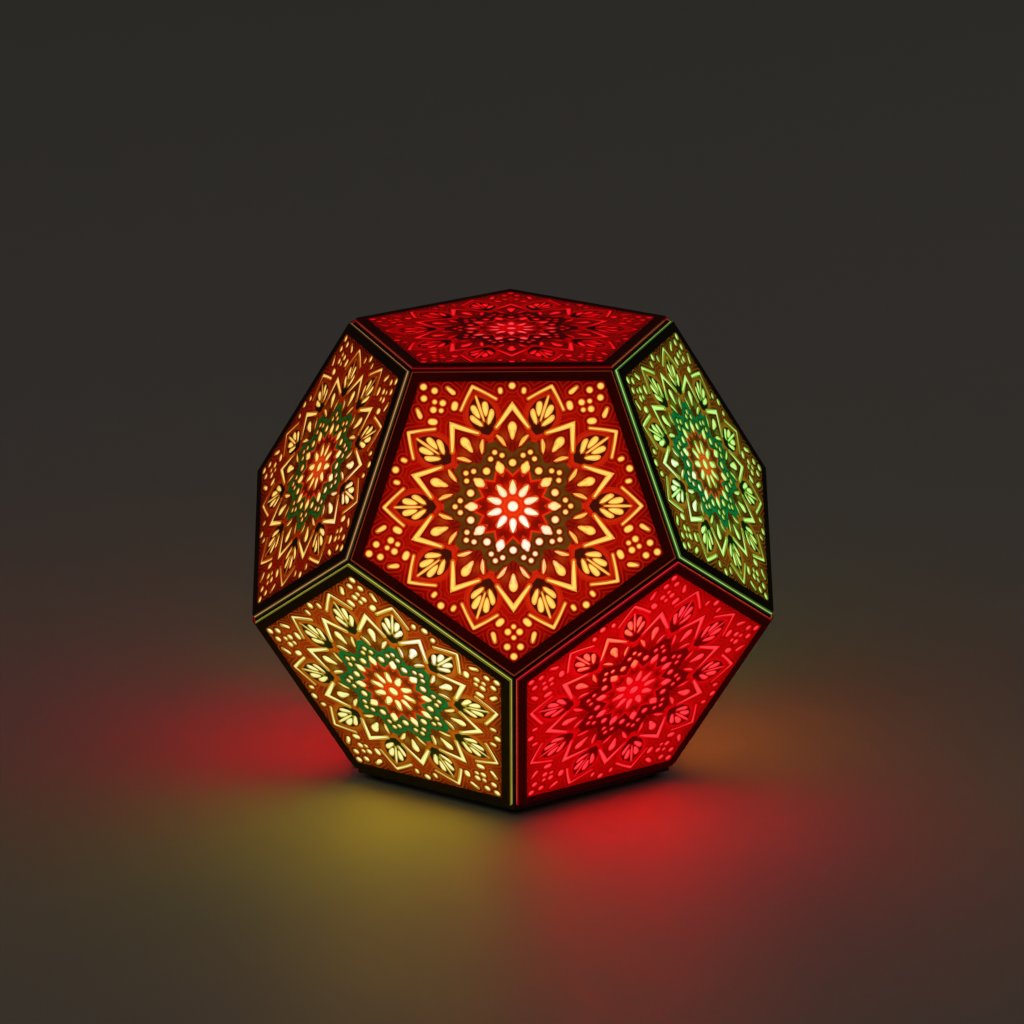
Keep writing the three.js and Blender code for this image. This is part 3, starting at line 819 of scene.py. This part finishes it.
def wound(wire, roundness, turns, count, radii, heights, start=0.0):
    """Wound wire, with its first and last radius and height. All sizes are in millimetres."""
    curve = set_up(
        bpy.data.curves.new("wound", "CURVE"), dimensions="3D", bevel_depth=wire * MM,
        bevel_resolution=roundness, use_fill_caps=True,
    )
    line = curve.splines.new("POLY")
    line.points.add(count - 1)
    for k, point in enumerate(line.points):
        share = k / (count - 1)
        angle = start + share * turns * 2 * math.pi
        radius, height = (
            (first + (last - first) * share) * MM for first, last in (radii, heights)
        )
        point.co = (radius * math.cos(angle), radius * math.sin(angle), height, 1)
    return curve_shape(curve)


# Mandala windows: outlines of [out, across] in thousandths of the art radius, with a third value
# at a sharp corner
SHARP = True


def both_sides(tip, sides, root):
    """Outline that is the same on both sides of its axis."""
    right = [(out, -across, *sharp) for out, across, *sharp in sides]
    return [tip, *right, root, *reversed(sides)]


def oval(out, across, long_half, wide_half=None, angle=0.0):
    """Oval whose long axis is turned by an angle in degrees from the outward direction."""
    wide_half = wide_half or long_half
    turn = Matrix.Rotation(math.radians(angle), 2)
    ends = ((long_half, 0), (0, wide_half), (-long_half, 0), (0, -wide_half))
    return [(Vector((out, across)) + turn @ Vector(end))[:] for end in ends]


STAR_PETAL = both_sides((173, 0, SHARP), [(132, 18), (101, 23)], (76, 0))
DIAMOND = both_sides((306, 0, SHARP), [(267, 28), (239, 20)], (222, 0))
TEARDROP = both_sides((549, 0), [(514, 26), (455, 12)], (430, 0))
STROKE = [(464, 105, SHARP), (442, 64), (382, 38, SHARP), (420, 77)]
CHEVRON = both_sides(
    (680, 0, SHARP), [(588, 59), (511, 108, SHARP), (505, 100, SHARP), (560, 49)], (622, 0, SHARP)
)
SPRAY_LINE = both_sides((755, 0, SHARP), [(738, 6), (592, 5)], (574, 0, SHARP))
NEAR_LEAFLET = [
    (600, 19, SHARP), (638, 15), (682, 20), (699, 36), (695, 50), (658, 55), (628, 41),
]
FAR_LEAFLET = [
    (546, 15, SHARP), (580, 24), (618, 45), (639, 60), (640, 72), (611, 78), (571, 51),
]
OUTER_CHEVRON = both_sides(
    (829, 0, SHARP), [(762, 66), (694, 124, SHARP), (686, 116, SHARP), (757, 52)], (803, 0, SHARP)
)
CORNER_LEAF = [(874, 118, SHARP), (838, 111), (805, 121), (801, 137), (829, 141)]

# Which outline stands on which axes: outline, number of axes, the first axis in degrees, and
# whether it stands on the axis or on both sides of it
ON_AXIS, BOTH = (1,), (1, -1)
RINGS = [
    (oval(0, 0, 32), 1, 0, ON_AXIS),
    (STAR_PETAL, 10, 90, ON_AXIS),
    (oval(281, 0, 22), 10, 90, ON_AXIS),
    (DIAMOND, 10, 108, ON_AXIS),
    (oval(366, 0, 15), 10, 108, ON_AXIS),
    (oval(333, 38, 15), 10, 108, BOTH),
    (TEARDROP, 10, 90, ON_AXIS),
    (STROKE, 10, 90, BOTH),
    (CHEVRON, 10, 90, ON_AXIS),
    (SPRAY_LINE, 10, 108, ON_AXIS),
    (NEAR_LEAFLET, 10, 108, BOTH),
    (FAR_LEAFLET, 10, 108, BOTH),
    (OUTER_CHEVRON, 10, 108, ON_AXIS),
    (oval(768, 0, 14), 5, -90, ON_AXIS),
    (oval(801, 37, 19), 5, -90, BOTH),
    (oval(838, 0, 14), 5, -90, ON_AXIS),
    (oval(896, 42, 19), 5, -90, BOTH),
    (oval(958, 0, 20), 5, -90, ON_AXIS),
    (oval(741, 86, 30, 20, 48), 5, -90, BOTH),
    (CORNER_LEAF, 5, -90, BOTH),
    (oval(780, 0, 20), 5, 90, ON_AXIS),
    (oval(748, 75, 20, 13), 5, 90, BOTH),
]


def add_outline(curve, points):
    """Closed Bezier outline, with corners where a point is sharp."""
    spline = curve.splines.new("BEZIER")
    spline.bezier_points.add(len(points) - 1)
    for knot, (place, sharp) in zip(spline.bezier_points, points):
        knot.co = place.to_3d()
        knot.handle_left_type = knot.handle_right_type = "VECTOR" if sharp else "AUTO"
    spline.use_cyclic_u = True


def pierced_sheet(apothem, thickness):
    """Pentagonal sheet with all the mandala's windows cut through it, its face at z = 0."""
    curve = set_up(
        bpy.data.curves.new("pierced_sheet", "CURVE"), dimensions="2D", fill_mode="BOTH",
        extrude=thickness / 2, resolution_u=4,
    )
    corner = Vector((0, -apothem * CORNER_SHARE))
    turns = [Matrix.Rotation(i * FACE_TURN, 2) for i in range(SIDES)]
    add_outline(curve, [(turn @ corner, True) for turn in turns])
    unit = art_radius() / 1000
    for outline, count, first, sides in RINGS:
        for side in sides:
            for i in range(count):
                turn = Matrix.Rotation(math.radians(first) + 2 * math.pi * i / count, 2)
                add_outline(curve, [
                    (turn @ Vector((out, side * across)) * unit, sharp)
                    for out, across, *sharp in outline
                ])
    bm = curve_shape(curve)
    bmesh.ops.translate(bm, vec=(0, 0, -thickness / 2), verts=bm.verts)
    evened(bm)
    for face in bm.faces:
        face.smooth = False
    return bm


def evened(bm):
    """Even triangles in the flat sides of a sheet, small enough for its dome."""
    def is_flat(face):
        return abs(face.normal.z) > 0.9

    for _ in range(4):
        flat = [face for face in bm.faces if is_flat(face)]
        inner = [e for e in parts_of(flat, "edges") if all(map(is_flat, e.link_faces))]
        bmesh.ops.beautify_fill(bm, faces=flat, edges=inner, method="ANGLE")
        edges = [edge for edge in bm.edges if edge.calc_length() > LONGEST_EDGE]
        bmesh.ops.subdivide_edges(bm, edges=edges, cuts=1)
        bmesh.ops.triangulate(bm, faces=[face for face in bm.faces if len(face.verts) > 4])


class Lantern_OT_prints(Operator):
    """Build the pierced mandala print and black border of each panel"""

    bl_idname = "lantern.prints"
    bl_label = "Mandala prints"

    def execute(self, context):
        size = sizes()
        sheet = pierced_sheet(art_apothem() + PRINT_SEAT, size.print_thickness)
        for vert in sheet.verts:
            vert.co.z += PLATE_FACE - size.print_recess - crown_drop(vert.co)
        # Flat faces take the print; the windows' sides take a dark print with painted light from
        # the pane below
        for item in sheet.faces:
            item.material_index = 1 if abs(item.normal.z) > 0.5 else 2
        border = self.border()
        moved_in(border, sheet)
        for face, (_, _, light, _) in PANELS.items():
            materials = [dark_print("border_" + light, light, "border")]
            materials.append(print_material("print_" + face, face))
            # Sides of the windows: painted light from the pane below, in the band colour
            materials.append(dark_print("band_" + light, light, "band"))
            finished(
                "print_" + face, border.copy(), "shell", "plate_" + face, materials,
                face=face, maps=["panel"],
            )
        border.free()
        return {"FINISHED"}

    def border(self):
        """Black ring round the print, with softened edges. It fills the seat down to the pane."""
        apothem = PLATE_APOTHEM - sizes().ledge
        back = PANE_FACE + PANE_CLEARANCE
        bm = pentagon_slab(back, PLATE_FACE, apothem, apothem)
        flat = [face for face in bm.faces if abs(face.normal.z) > 0.9]
        width = apothem - art_apothem()
        bmesh.ops.inset_region(bm, faces=flat, thickness=width, use_even_offset=True)
        inner = [f for f in bm.faces if abs(f.normal.z) > 0.9 and len(f.verts) == SIDES
                 and max(abs(v.co.y) for v in f.verts) < art_radius() * 1.001]
        rims = [edge for face in inner for edge in face.edges]
        bmesh.ops.delete(bm, geom=inner, context="FACES_ONLY")
        bmesh.ops.bridge_loops(bm, edges=rims)
        tidy(bm)
        rounded(bm, sizes().edge_round)
        for vert in bm.verts:
            share = (vert.co.z - back) / (PLATE_FACE - back)
            vert.co.z -= share * crown_drop(vert.co)
        return bm


class Lantern_OT_panes(Operator):
    """Build the glowing pane behind each print"""

    bl_idname = "lantern.panes"
    bl_label = "Glowing panes"

    def execute(self, context):
        for face, (_, _, light, _) in PANELS.items():
            materials = [glow_material("glow_" + face, face), rim_material("rim_" + light, light)]
            materials.append(lit_material("pane_back_" + light, light, 0.5, 0.4, 30.0, 0.75, 0.8))
            finished(
                "pane_" + face, self.pane(), "shell", "diffuser_" + face, materials,
                face=face, maps=["panel", "depth"],
            )
        return {"FINISHED"}

    def pane(self):
        """Slab with a field that stands up behind the print, domed like it."""
        size = sizes()
        field_face = PLATE_FACE - size.print_recess - size.print_thickness - SHEET_GAP
        bm = pentagon_slab(PANE_BACK, PANE_FACE, PLATE_APOTHEM, PLATE_APOTHEM)
        rounded(bm, size.edge_round)
        front = max(bm.faces, key=height_of)
        step = PLATE_APOTHEM - size.edge_round - (art_apothem() - 0.1 * MM)
        bmesh.ops.inset_region(bm, faces=[front], thickness=step, use_even_offset=True)
        raised(bm, [front], field_face - PANE_FACE)
        tidy(bm)
        for item in bm.faces:
            on_side = int(height_of(item) < PANE_FACE + NEAR)
            item.material_index = 2 if item.normal.z < -0.99 else on_side
        cells = bmesh.ops.poke(bm, faces=[max(bm.faces, key=height_of)])["faces"]
        edges = parts_of(cells, "edges")
        bmesh.ops.subdivide_edges(bm, edges=edges, cuts=11, use_grid_fill=True)
        for vert in bm.verts:
            if vert.co.z > PANE_FACE + NEAR:
                vert.co.z -= crown_drop(vert.co)
        return bm


class Lantern_OT_frames(Operator):
    """Build the mitred frames and finish the parts that keep their CAD shape"""

    bl_idname = "lantern.frames"
    bl_label = "Frames and inner parts"

    def execute(self, context):
        frame_black = grained("frame_black", (0.009, 0.008, 0.007), 0.75, 900.0, 0.35, 0.25)
        feed_named(principled(frame_black), Specular_IOR_Level=0.2)
        finishes = {
            "bottom_frame": frame_black,
            "bottom_plate": grained("base_black", (0.022, 0.02, 0.018), 0.6, 1800.0, 0.3, 0.15),
            "battery_tray": grained("tray_grey", (0.03, 0.028, 0.026), 0.6, 2200.0, 0.2, 0.15),
            "circuit_board": grained("board_green", (0.01, 0.09, 0.03), 0.4, 700.0, 0.3, 0.05),
            "switch_body": grained("switch_black", (0.01, 0.01, 0.011), 0.45),
        }
        for node, material in finishes.items():
            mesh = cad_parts[node].data
            mesh.materials.clear()
            mesh.materials.append(material)
        for face in PANELS:
            node = "frame_" + face
            finished(
                "mitred_" + node, self.ring(), "shell", node, [frame_black], face=face
            )
        return {"FINISHED"}

    def ring(self):
        """Pentagonal ring whose mitred sides almost touch the neighbours', so no light passes."""
        back, front = (height * MITRE_SHARE - FRAME_SEAM for height in (FRAME_BACK, FRAME_FACE))
        bm = pentagon_slab(FRAME_BACK, FRAME_FACE, back, front)
        level = [e for e in bm.edges if abs(e.verts[0].co.z - e.verts[1].co.z) <= MM]
        rounded(bm, SMALL_EDGE, level)
        flat = sorted(bm.faces, key=height_of)
        flat = [flat[0], flat[-1]]
        for face, reach in zip(flat, (back, front)):
            step = reach - SMALL_EDGE - FRAME_OPENING
            bmesh.ops.inset_region(bm, faces=[face], thickness=step, use_even_offset=True)
        edges = [edge for face in flat for edge in face.edges]
        bmesh.ops.delete(bm, geom=flat, context="FACES_ONLY")
        bmesh.ops.bridge_loops(bm, edges=edges)
        return tidy(bm)


class Lantern_OT_feet(Operator):
    """Build the five rubber feet"""

    bl_idname = "lantern.feet"
    bl_label = "Rubber feet"

    def execute(self, context):
        rubber = grained("foot_rubber", (0.014, 0.014, 0.014), 0.85, 3500.0, 0.3, 0.3)
        radius, bottom, top = round_size("foot_1")
        height = top - bottom
        profile = [
            (0, height), *arc(radius - 0.25, height - 0.25, 0.25, 90, 0, 3),
            *arc(radius - 0.8, 0.8, 0.8, 0, -90, 5), (radius * 0.62, 0),
            (radius * 0.58, 0.35), (radius * 0.42, 0.35), (radius * 0.38, 0), (0, 0),
        ]
        for i in range(SIDES):
            name = f"foot_{i + 1}"
            turned("rubber_" + name, name, spun(profile, 32), rubber)
        return {"FINISHED"}


class Lantern_OT_housing(Operator):
    """Build the round housing over the batteries, and its screws"""

    bl_idname = "lantern.housing"
    bl_label = "Housing and screws"

    def execute(self, context):
        plastic = grained("housing_plastic", (0.07, 0.065, 0.06), 0.55, 2600.0, 0.15, 0.25, 0.25)
        radius, bottom, top = round_size("light_housing")
        wall, edge, hole = 2.0, 4.0, 4.0
        bm = spun([
            (radius - wall, bottom), (radius - 0.3, bottom), (radius, bottom + 0.3),
            (radius, bottom + 2.2), (radius - 0.35, bottom + 2.45),
            (radius - 0.35, bottom + 2.95), (radius, bottom + 3.2),
            *arc(radius - edge, top - edge, edge, 0, 90, 8),
            (16.2, top), (15.9, top - 0.35), (15.3, top - 0.35), (15.0, top),
            (hole + 0.3, top), (hole, top - 0.3), (hole, top - wall),
            *arc(radius - edge, top - edge, edge - wall, 90, 0, 5),
        ], 96)
        outer, inner, bore, high = 3.4, 1.7, bottom + 9.3, top - wall / 2
        pillar = [
            (0, bore), (inner, bore), (inner, bottom), (outer, bottom), (outer, high), (0, high),
        ]
        for i in range(SCREWS):
            place = centre_of(f"housing_screw_{i + 1}")
            moved_in(bm, spun(pillar, 24), Matrix.Translation((place.x, place.y, 0)))
        finished("housing", bm, "base", "light_housing", [plastic], smooth=35)
        self.screws()
        return {"FINISHED"}

    def screws(self):
        steel = grained("screw_steel", (0.55, 0.55, 0.56), 0.3, 1500.0, 0.15, 0.05, 0.0, 1.0)
        _, bottom, top = round_size("housing_screw_1")
        head, shaft, pitch, neck = 2.6, 1.4, 0.9, bottom + 1.3
        profile = [(0, bottom), *arc(head - 0.4, bottom + 0.4, 0.4, -90, 0, 4)]
        profile += [(head, neck), (shaft, neck)]
        for k in range(int((top - neck) / pitch)):
            z = neck + 0.3 + k * pitch
            profile += [(shaft - 0.3, z), (shaft, z + pitch / 2)]
        profile += [(shaft - 0.3, top - 0.5), (0, top)]
        arm, half = 1.45 * MM, 0.32 * MM  # of the cross recess
        cuts = [(axis, offset) for axis in ((1, 0, 0), (0, 1, 0))
                for offset in (-arm, -half, half, arm)]

        def in_cross(c):
            return min(abs(c.x), abs(c.y)) < half and max(abs(c.x), abs(c.y)) < arm

        for i in range(SCREWS):
            name = f"housing_screw_{i + 1}"
            bm = spun(profile, 24)
            sunk(bm, bottom * MM, cuts, in_cross, 0.7 * MM)
            turned("steel_" + name, name, bm, steel)


class Lantern_OT_power(Operator):
    """Build the battery door, the cells, their contacts and the power button"""

    bl_idname = "lantern.power"
    bl_label = "Battery door, cells and button"

    def execute(self, context):
        self.door()
        self.cells()
        self.contacts()
        self.button()
        return {"FINISHED"}

    def door(self):
        plastic = grained("door_plastic", (0.026, 0.023, 0.021), 0.55, 2400.0, 0.2, 0.2)
        low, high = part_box("battery_door")
        lip_width, lip, half = 1.5 * MM, 0.7 * MM, 14 * MM
        bm = bmesh.new()
        block(bm, low + Vector((lip_width, lip_width, 0)), high - Vector((lip_width, 0, 0)))
        for i in range(5):
            start = low.y + lip_width + (5 + 3.1 * i) * MM
            end = start + 1.5 * MM
            cuts = [((0, 1, 0), start), ((0, 1, 0), end), ((1, 0, 0), -half), ((1, 0, 0), half)]
            sunk(bm, low.z, cuts, lambda c: start < c.y < end and abs(c.x) < half, 0.6 * MM)
        rounded(bm, 0.18 * MM)
        block(bm, (low.x, low.y, high.z - lip), (high.x, high.y, high.z - 0.02 * MM))
        body = node = "battery_door"
        finished("sliding_door", bm, body, node, [plastic])

    def cells(self):
        sleeve = grained("cell_sleeve", (0.02, 0.09, 0.22), 0.3, 400.0, 0.1, 0.03)
        band = grained("cell_band", (0.5, 0.42, 0.2), 0.3, 400.0, 0.1, 0.03, 0.0, 0.8)
        metal = grained("cell_metal", (0.6, 0.6, 0.58), 0.3, 900.0, 0.15, 0.05, 0.0, 1.0)
        for i in range(CELLS):
            name = f"battery_cell_{i + 1}"
            low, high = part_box(name)
            radius = round_size(name)[0]
            length = (high.y - low.y) / MM
            nub, shoulder = 2.75, length - 1.3
            stripe, metal_radius = (shoulder - 12, shoulder - 10.5), 6.45
            bm = spun([
                (0, 0.25), (4.6, 0.25), (5.2, 0), (6.3, 0), (6.6, 0.3),
                *arc(radius - 0.4, 0.7, 0.4, -90, 0, 3), *((radius, z) for z in stripe),
                *arc(radius - 0.4, shoulder - 0.4, 0.4, 0, 90, 3),
                (5.6, shoulder), (5.4, shoulder - 0.3), (3.4, shoulder - 0.3), (nub, shoulder),
                *arc(nub - 0.3, length - 0.3, 0.3, 0, 90, 3), (0, length),
            ], 40)
            for face in bm.faces:
                middle = face.calc_center_median() / MM
                if middle.xy.length < metal_radius:
                    face.material_index = 2
                elif stripe[0] < middle.z < stripe[1]:
                    face.material_index = 1
            lay_down = Matrix.Rotation(-math.pi / 2, 4, "X")
            shift = Matrix.Translation((0, 0, -length * MM / 2))
            turn = Matrix.Rotation(math.pi * (i % 2), 4, "Z") @ lay_down @ shift
            matrix = Matrix.Translation(centre_of(name)) @ turn
            bmesh.ops.transform(bm, matrix=matrix, verts=bm.verts)
            materials = [sleeve, band, metal]
            finished(f"cell_{i + 1}", bm, "base", name, materials, smooth=35)

    def contacts(self):
        nickel = grained("contact_nickel", (0.62, 0.6, 0.55), 0.28, 900.0, 0.15, 0.05, 0.0, 1.0)
        for end, side in (("rear", 1), ("front", -1)):
            node = "battery_contact_" + end
            low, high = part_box(node)
            back = high.y if end == "rear" else low.y
            face = back - side * 0.5 * MM
            bm = bmesh.new()
            block(bm, (low.x, min(face, back), low.z), (high.x, max(face, back), high.z))
            rounded(bm, SMALL_EDGE)
            for i in range(CELLS):
                cell = centre_of(f"battery_cell_{i + 1}")
                meets_nub = (i % 2 == 0) == (end == "rear")
                place = Matrix.Translation((cell.x, face, cell.z))
                turn = Matrix.Rotation(side * math.pi / 2, 4, "X")
                moved_in(bm, self.bump() if meets_nub else self.spring(), place @ turn)
            bmesh.ops.recalc_face_normals(bm, faces=bm.faces)
            name = "contact_strip_" + end
            finished(name, bm, "base", node, [nickel], smooth=35)

    def bump(self):
        """Pressed dome that meets a cell's nub."""
        return spun([(0, -0.2), (2.5, -0.2), (2.5, 0.1), (2.1, 0.5), (1.4, 0.8), (0, 0.9)], 24)

    def spring(self):
        """Conical spring, as one wound wire."""
        return wound(0.38, 3, 2, 41, (4.4, 2.6), (0.2, 2.98))

    def button(self):
        red = grained("button_red", (0.32, 0.012, 0.012), 0.35, 1800.0, 0.1, 0.08)
        flange, bottom, top = round_size("power_button")
        cap, seat, stem = 5.5, 6.3, 2.5
        profile = [
            (0, bottom + 0.55), (1.8, bottom + 0.45), (3.4, bottom + 0.15), (4.4, bottom),
            *arc(cap - 0.5, bottom + 0.5, 0.5, -90, 0, 4), (cap, seat), (flange, seat),
            (flange, seat + 1.2), (stem, seat + 1.2), (stem, top - 0.3), (stem - 0.3, top),
            (0, top),
        ]
        body = node = "power_button"
        turned("push_button", node, spun(profile, 48), red, body)


class Lantern_OT_light(Operator):
    """Build the light post, the wire in it and the light core with its emitters"""

    bl_idname = "lantern.light"
    bl_label = "Post, wire and light core"

    def execute(self, context):
        self.post()
        self.wire()
        self.core()
        return {"FINISHED"}

    def post(self):
        metal = grained("post_metal", (0.5, 0.5, 0.51), 0.32, 1400.0, 0.12, 0.1, 0.1, 1.0)
        flange, bottom, top = round_size("light_post")
        tube, hole = 6.0, 4.0
        profile = [
            (hole, bottom), (flange - 0.4, bottom), (flange, bottom + 0.4),
            (flange, bottom + 1.4), (flange - 0.6, bottom + 2),
            *arc(tube + 4, bottom + 6, 4, -90, -180, 8),
            (tube, top - 0.3), (tube - 0.3, top), (hole + 0.2, top), (hole, top - 0.2),
        ]
        turned("post", "light_post", spun(profile, 64), metal)

    def wire(self):
        red = grained("wire_red", (0.3, 0.012, 0.012), 0.45, 900.0, 0.1, 0.03)
        dark = grained("wire_black", (0.01, 0.01, 0.01), 0.45, 900.0, 0.1, 0.03)
        _, bottom, top = round_size("light_wire")
        heights = (bottom + 0.3, top - 0.3)
        bm = bmesh.new()
        for strand in range(2):
            part = wound(0.55, 2, 8, 97, (0.62, 0.62), heights, strand * math.pi)
            moved_in(bm, part, material=strand)
        finished("twisted_wire", bm, "base", "light_wire", [red, dark], smooth=40)

    def core(self):
        """White dodecahedron with an emitter and its lens behind each lit panel."""
        lights = list(TINTS)
        materials = [
            grained("core_white", (0.72, 0.7, 0.66), 0.45, 1500.0, 0.05, 0.08, 0.1),
            grained("emitter_plate", (0.6, 0.6, 0.58), 0.35, 1500.0, 0.05, 0.02),
            *(lit_material("lens_" + light, light, 1.0, 0.15, 300.0, 0.85, 2.0)
              for light in lights),
        ]
        inradius, led_half = 13 * MM, 3.5 * MM
        top = inradius + 1 * MM
        bm = bmesh.new()
        bmesh.ops.create_cube(bm, size=4 * inradius)
        turns = {face: panel_matrix(face).to_3x3().to_4x4() for face in PANELS}
        for turn in [Matrix.Rotation(math.pi, 4, "X"), *turns.values()]:
            normal = (turn @ Vector((0, 0, 1))).normalized()
            geom = list(bm.verts) + list(bm.edges) + list(bm.faces)
            bmesh.ops.bisect_plane(
                bm, geom=geom, dist=1e-8, plane_co=normal * inradius, plane_no=normal,
                clear_outer=True,
            )
            bmesh.ops.holes_fill(bm, edges=[e for e in bm.edges if e.is_boundary], sides=0)
        tidy(bm)
        rounded(bm, 0.5 * MM, segments=3)
        dome = [(0, -0.1), (2.6, -0.1), (2.6, 0.2), (2.35, 0.9), (1.7, 1.45), (0.9, 1.72), (0, 1.8)]
        for face, turn in turns.items():
            base = bmesh.new()
            block(base, (-led_half, -led_half, inradius - 0.3 * MM), (led_half, led_half, top))
            rounded(base, 0.25 * MM)
            moved_in(bm, base, turn, 1)
            lens = spun([(radius, top / MM + height) for radius, height in dome], 24)
            moved_in(bm, lens, turn, 2 + lights.index(PANELS[face][2]))
        bmesh.ops.translate(bm, vec=LANTERN_CENTRE, verts=bm.verts)
        finished("core", bm, "base", "light_core", materials, smooth=35)


class Lantern_OT_stage(Operator):
    """Set the camera, the soft studio light and the plain pale floor"""

    bl_idname = "lantern.stage"
    bl_label = "Stage"

    def execute(self, context):
        self.camera(context.scene)
        self.floor()
        self.lights(context.scene)
        context.scene.view_settings.view_transform = "Standard"
        return {"FINISHED"}

    def camera(self, scene):
        """Camera at the photo's place, with lens, distance and angles from the panels' corners."""
        elevation, azimuth, roll = math.radians(16.97), math.radians(-0.19), math.radians(-0.296)
        distance, focal_px = 2.304, 5024.6
        image_side, right_px, down_px = 1024, 0.38, 31.73
        back = Vector((
            math.sin(azimuth) * math.cos(elevation),
            -math.cos(azimuth) * math.cos(elevation),
            math.sin(elevation),
        ))
        turn = back.to_track_quat("Z", "Y").to_matrix().to_4x4() @ Matrix.Rotation(roll, 4, "Z")
        right, up = turn.col[0].to_3d(), turn.col[1].to_3d()
        place = LANTERN_CENTRE + back * distance
        place += (-right * right_px + up * down_px) * distance / focal_px
        data = set_up(bpy.data.cameras.new("camera"), sensor_width=36, clip_end=60)
        data.lens = focal_px / image_side * data.sensor_width
        scene.camera = placed("camera", data, Matrix.Translation(place) @ turn)

    def floor(self):
        bm = bmesh.new()
        bmesh.ops.create_grid(bm, x_segments=1, y_segments=1, size=sizes().floor_size / 2)
        floor = placed("floor", mesh_of("floor", bm))
        pale = grained("floor_pale", (0.5, 0.48, 0.45), 0.55, 300.0, 0.04, 0.0)
        floor.data.materials.append(pale)

    def lights(self, scene):
        world = bpy.data.worlds.new("studio")
        world.use_nodes = True
        sky = world.node_tree.nodes["Background"]
        feed_named(sky, Color=(1.0, 0.93, 0.85, 1.0), Strength=sizes().studio_light)
        scene.world = world
        for name, place, size, power in (
            ("soft_key", (-1.6, -1.8, 2.4), 2.2, 2.4),
            ("soft_fill", (2.0, 0.8, 1.8), 2.0, 1.2),
        ):
            data = set_up(
                bpy.data.lights.new(name, "AREA"), shape="DISK", size=size, energy=power,
                color=(1.0, 0.96, 0.9),
            )
            aim = (Vector(place) - LANTERN_CENTRE).to_track_quat("Z", "Y").to_matrix().to_4x4()
            placed(name, data, Matrix.Translation(place) @ aim)


class Lantern_PT_panel(Panel):
    """Settings and steps of the lantern"""

    bl_idname = "LANTERN_PT_panel"
    bl_label = "Lantern"
    bl_space_type = "VIEW_3D"
    bl_region_type = "UI"
    bl_category = "Lantern"

    def draw(self, context):
        for field in Lantern_PG_sizes.__annotations__:
            self.layout.prop(sizes(), field)
        for operator in OPERATORS:
            self.layout.operator(operator.bl_idname)


OPERATORS = (
    Lantern_OT_stage,
    Lantern_OT_panes,
    Lantern_OT_prints,
    Lantern_OT_frames,
    Lantern_OT_feet,
    Lantern_OT_housing,
    Lantern_OT_power,
    Lantern_OT_light,
)
CLASSES = (
    *TINT_CLASSES.values(), Lantern_PG_sizes, Lantern_PG_settings, *OPERATORS, Lantern_PT_panel,
)


def register():
    for item in CLASSES:
        bpy.utils.register_class(item)
    bpy.types.Scene.lantern = PointerProperty(type=Lantern_PG_settings)


def unregister():
    del bpy.types.Scene.lantern
    for item in reversed(CLASSES):
        bpy.utils.unregister_class(item)


def main():
    register()
    bpy.ops.lantern.stage()
    bpy.ops.lantern.panes()
    bpy.ops.lantern.prints()
    bpy.ops.lantern.frames()
    bpy.ops.lantern.feet()
    bpy.ops.lantern.housing()
    bpy.ops.lantern.power()
    bpy.ops.lantern.light()


if __name__ == "__main__":
    main()
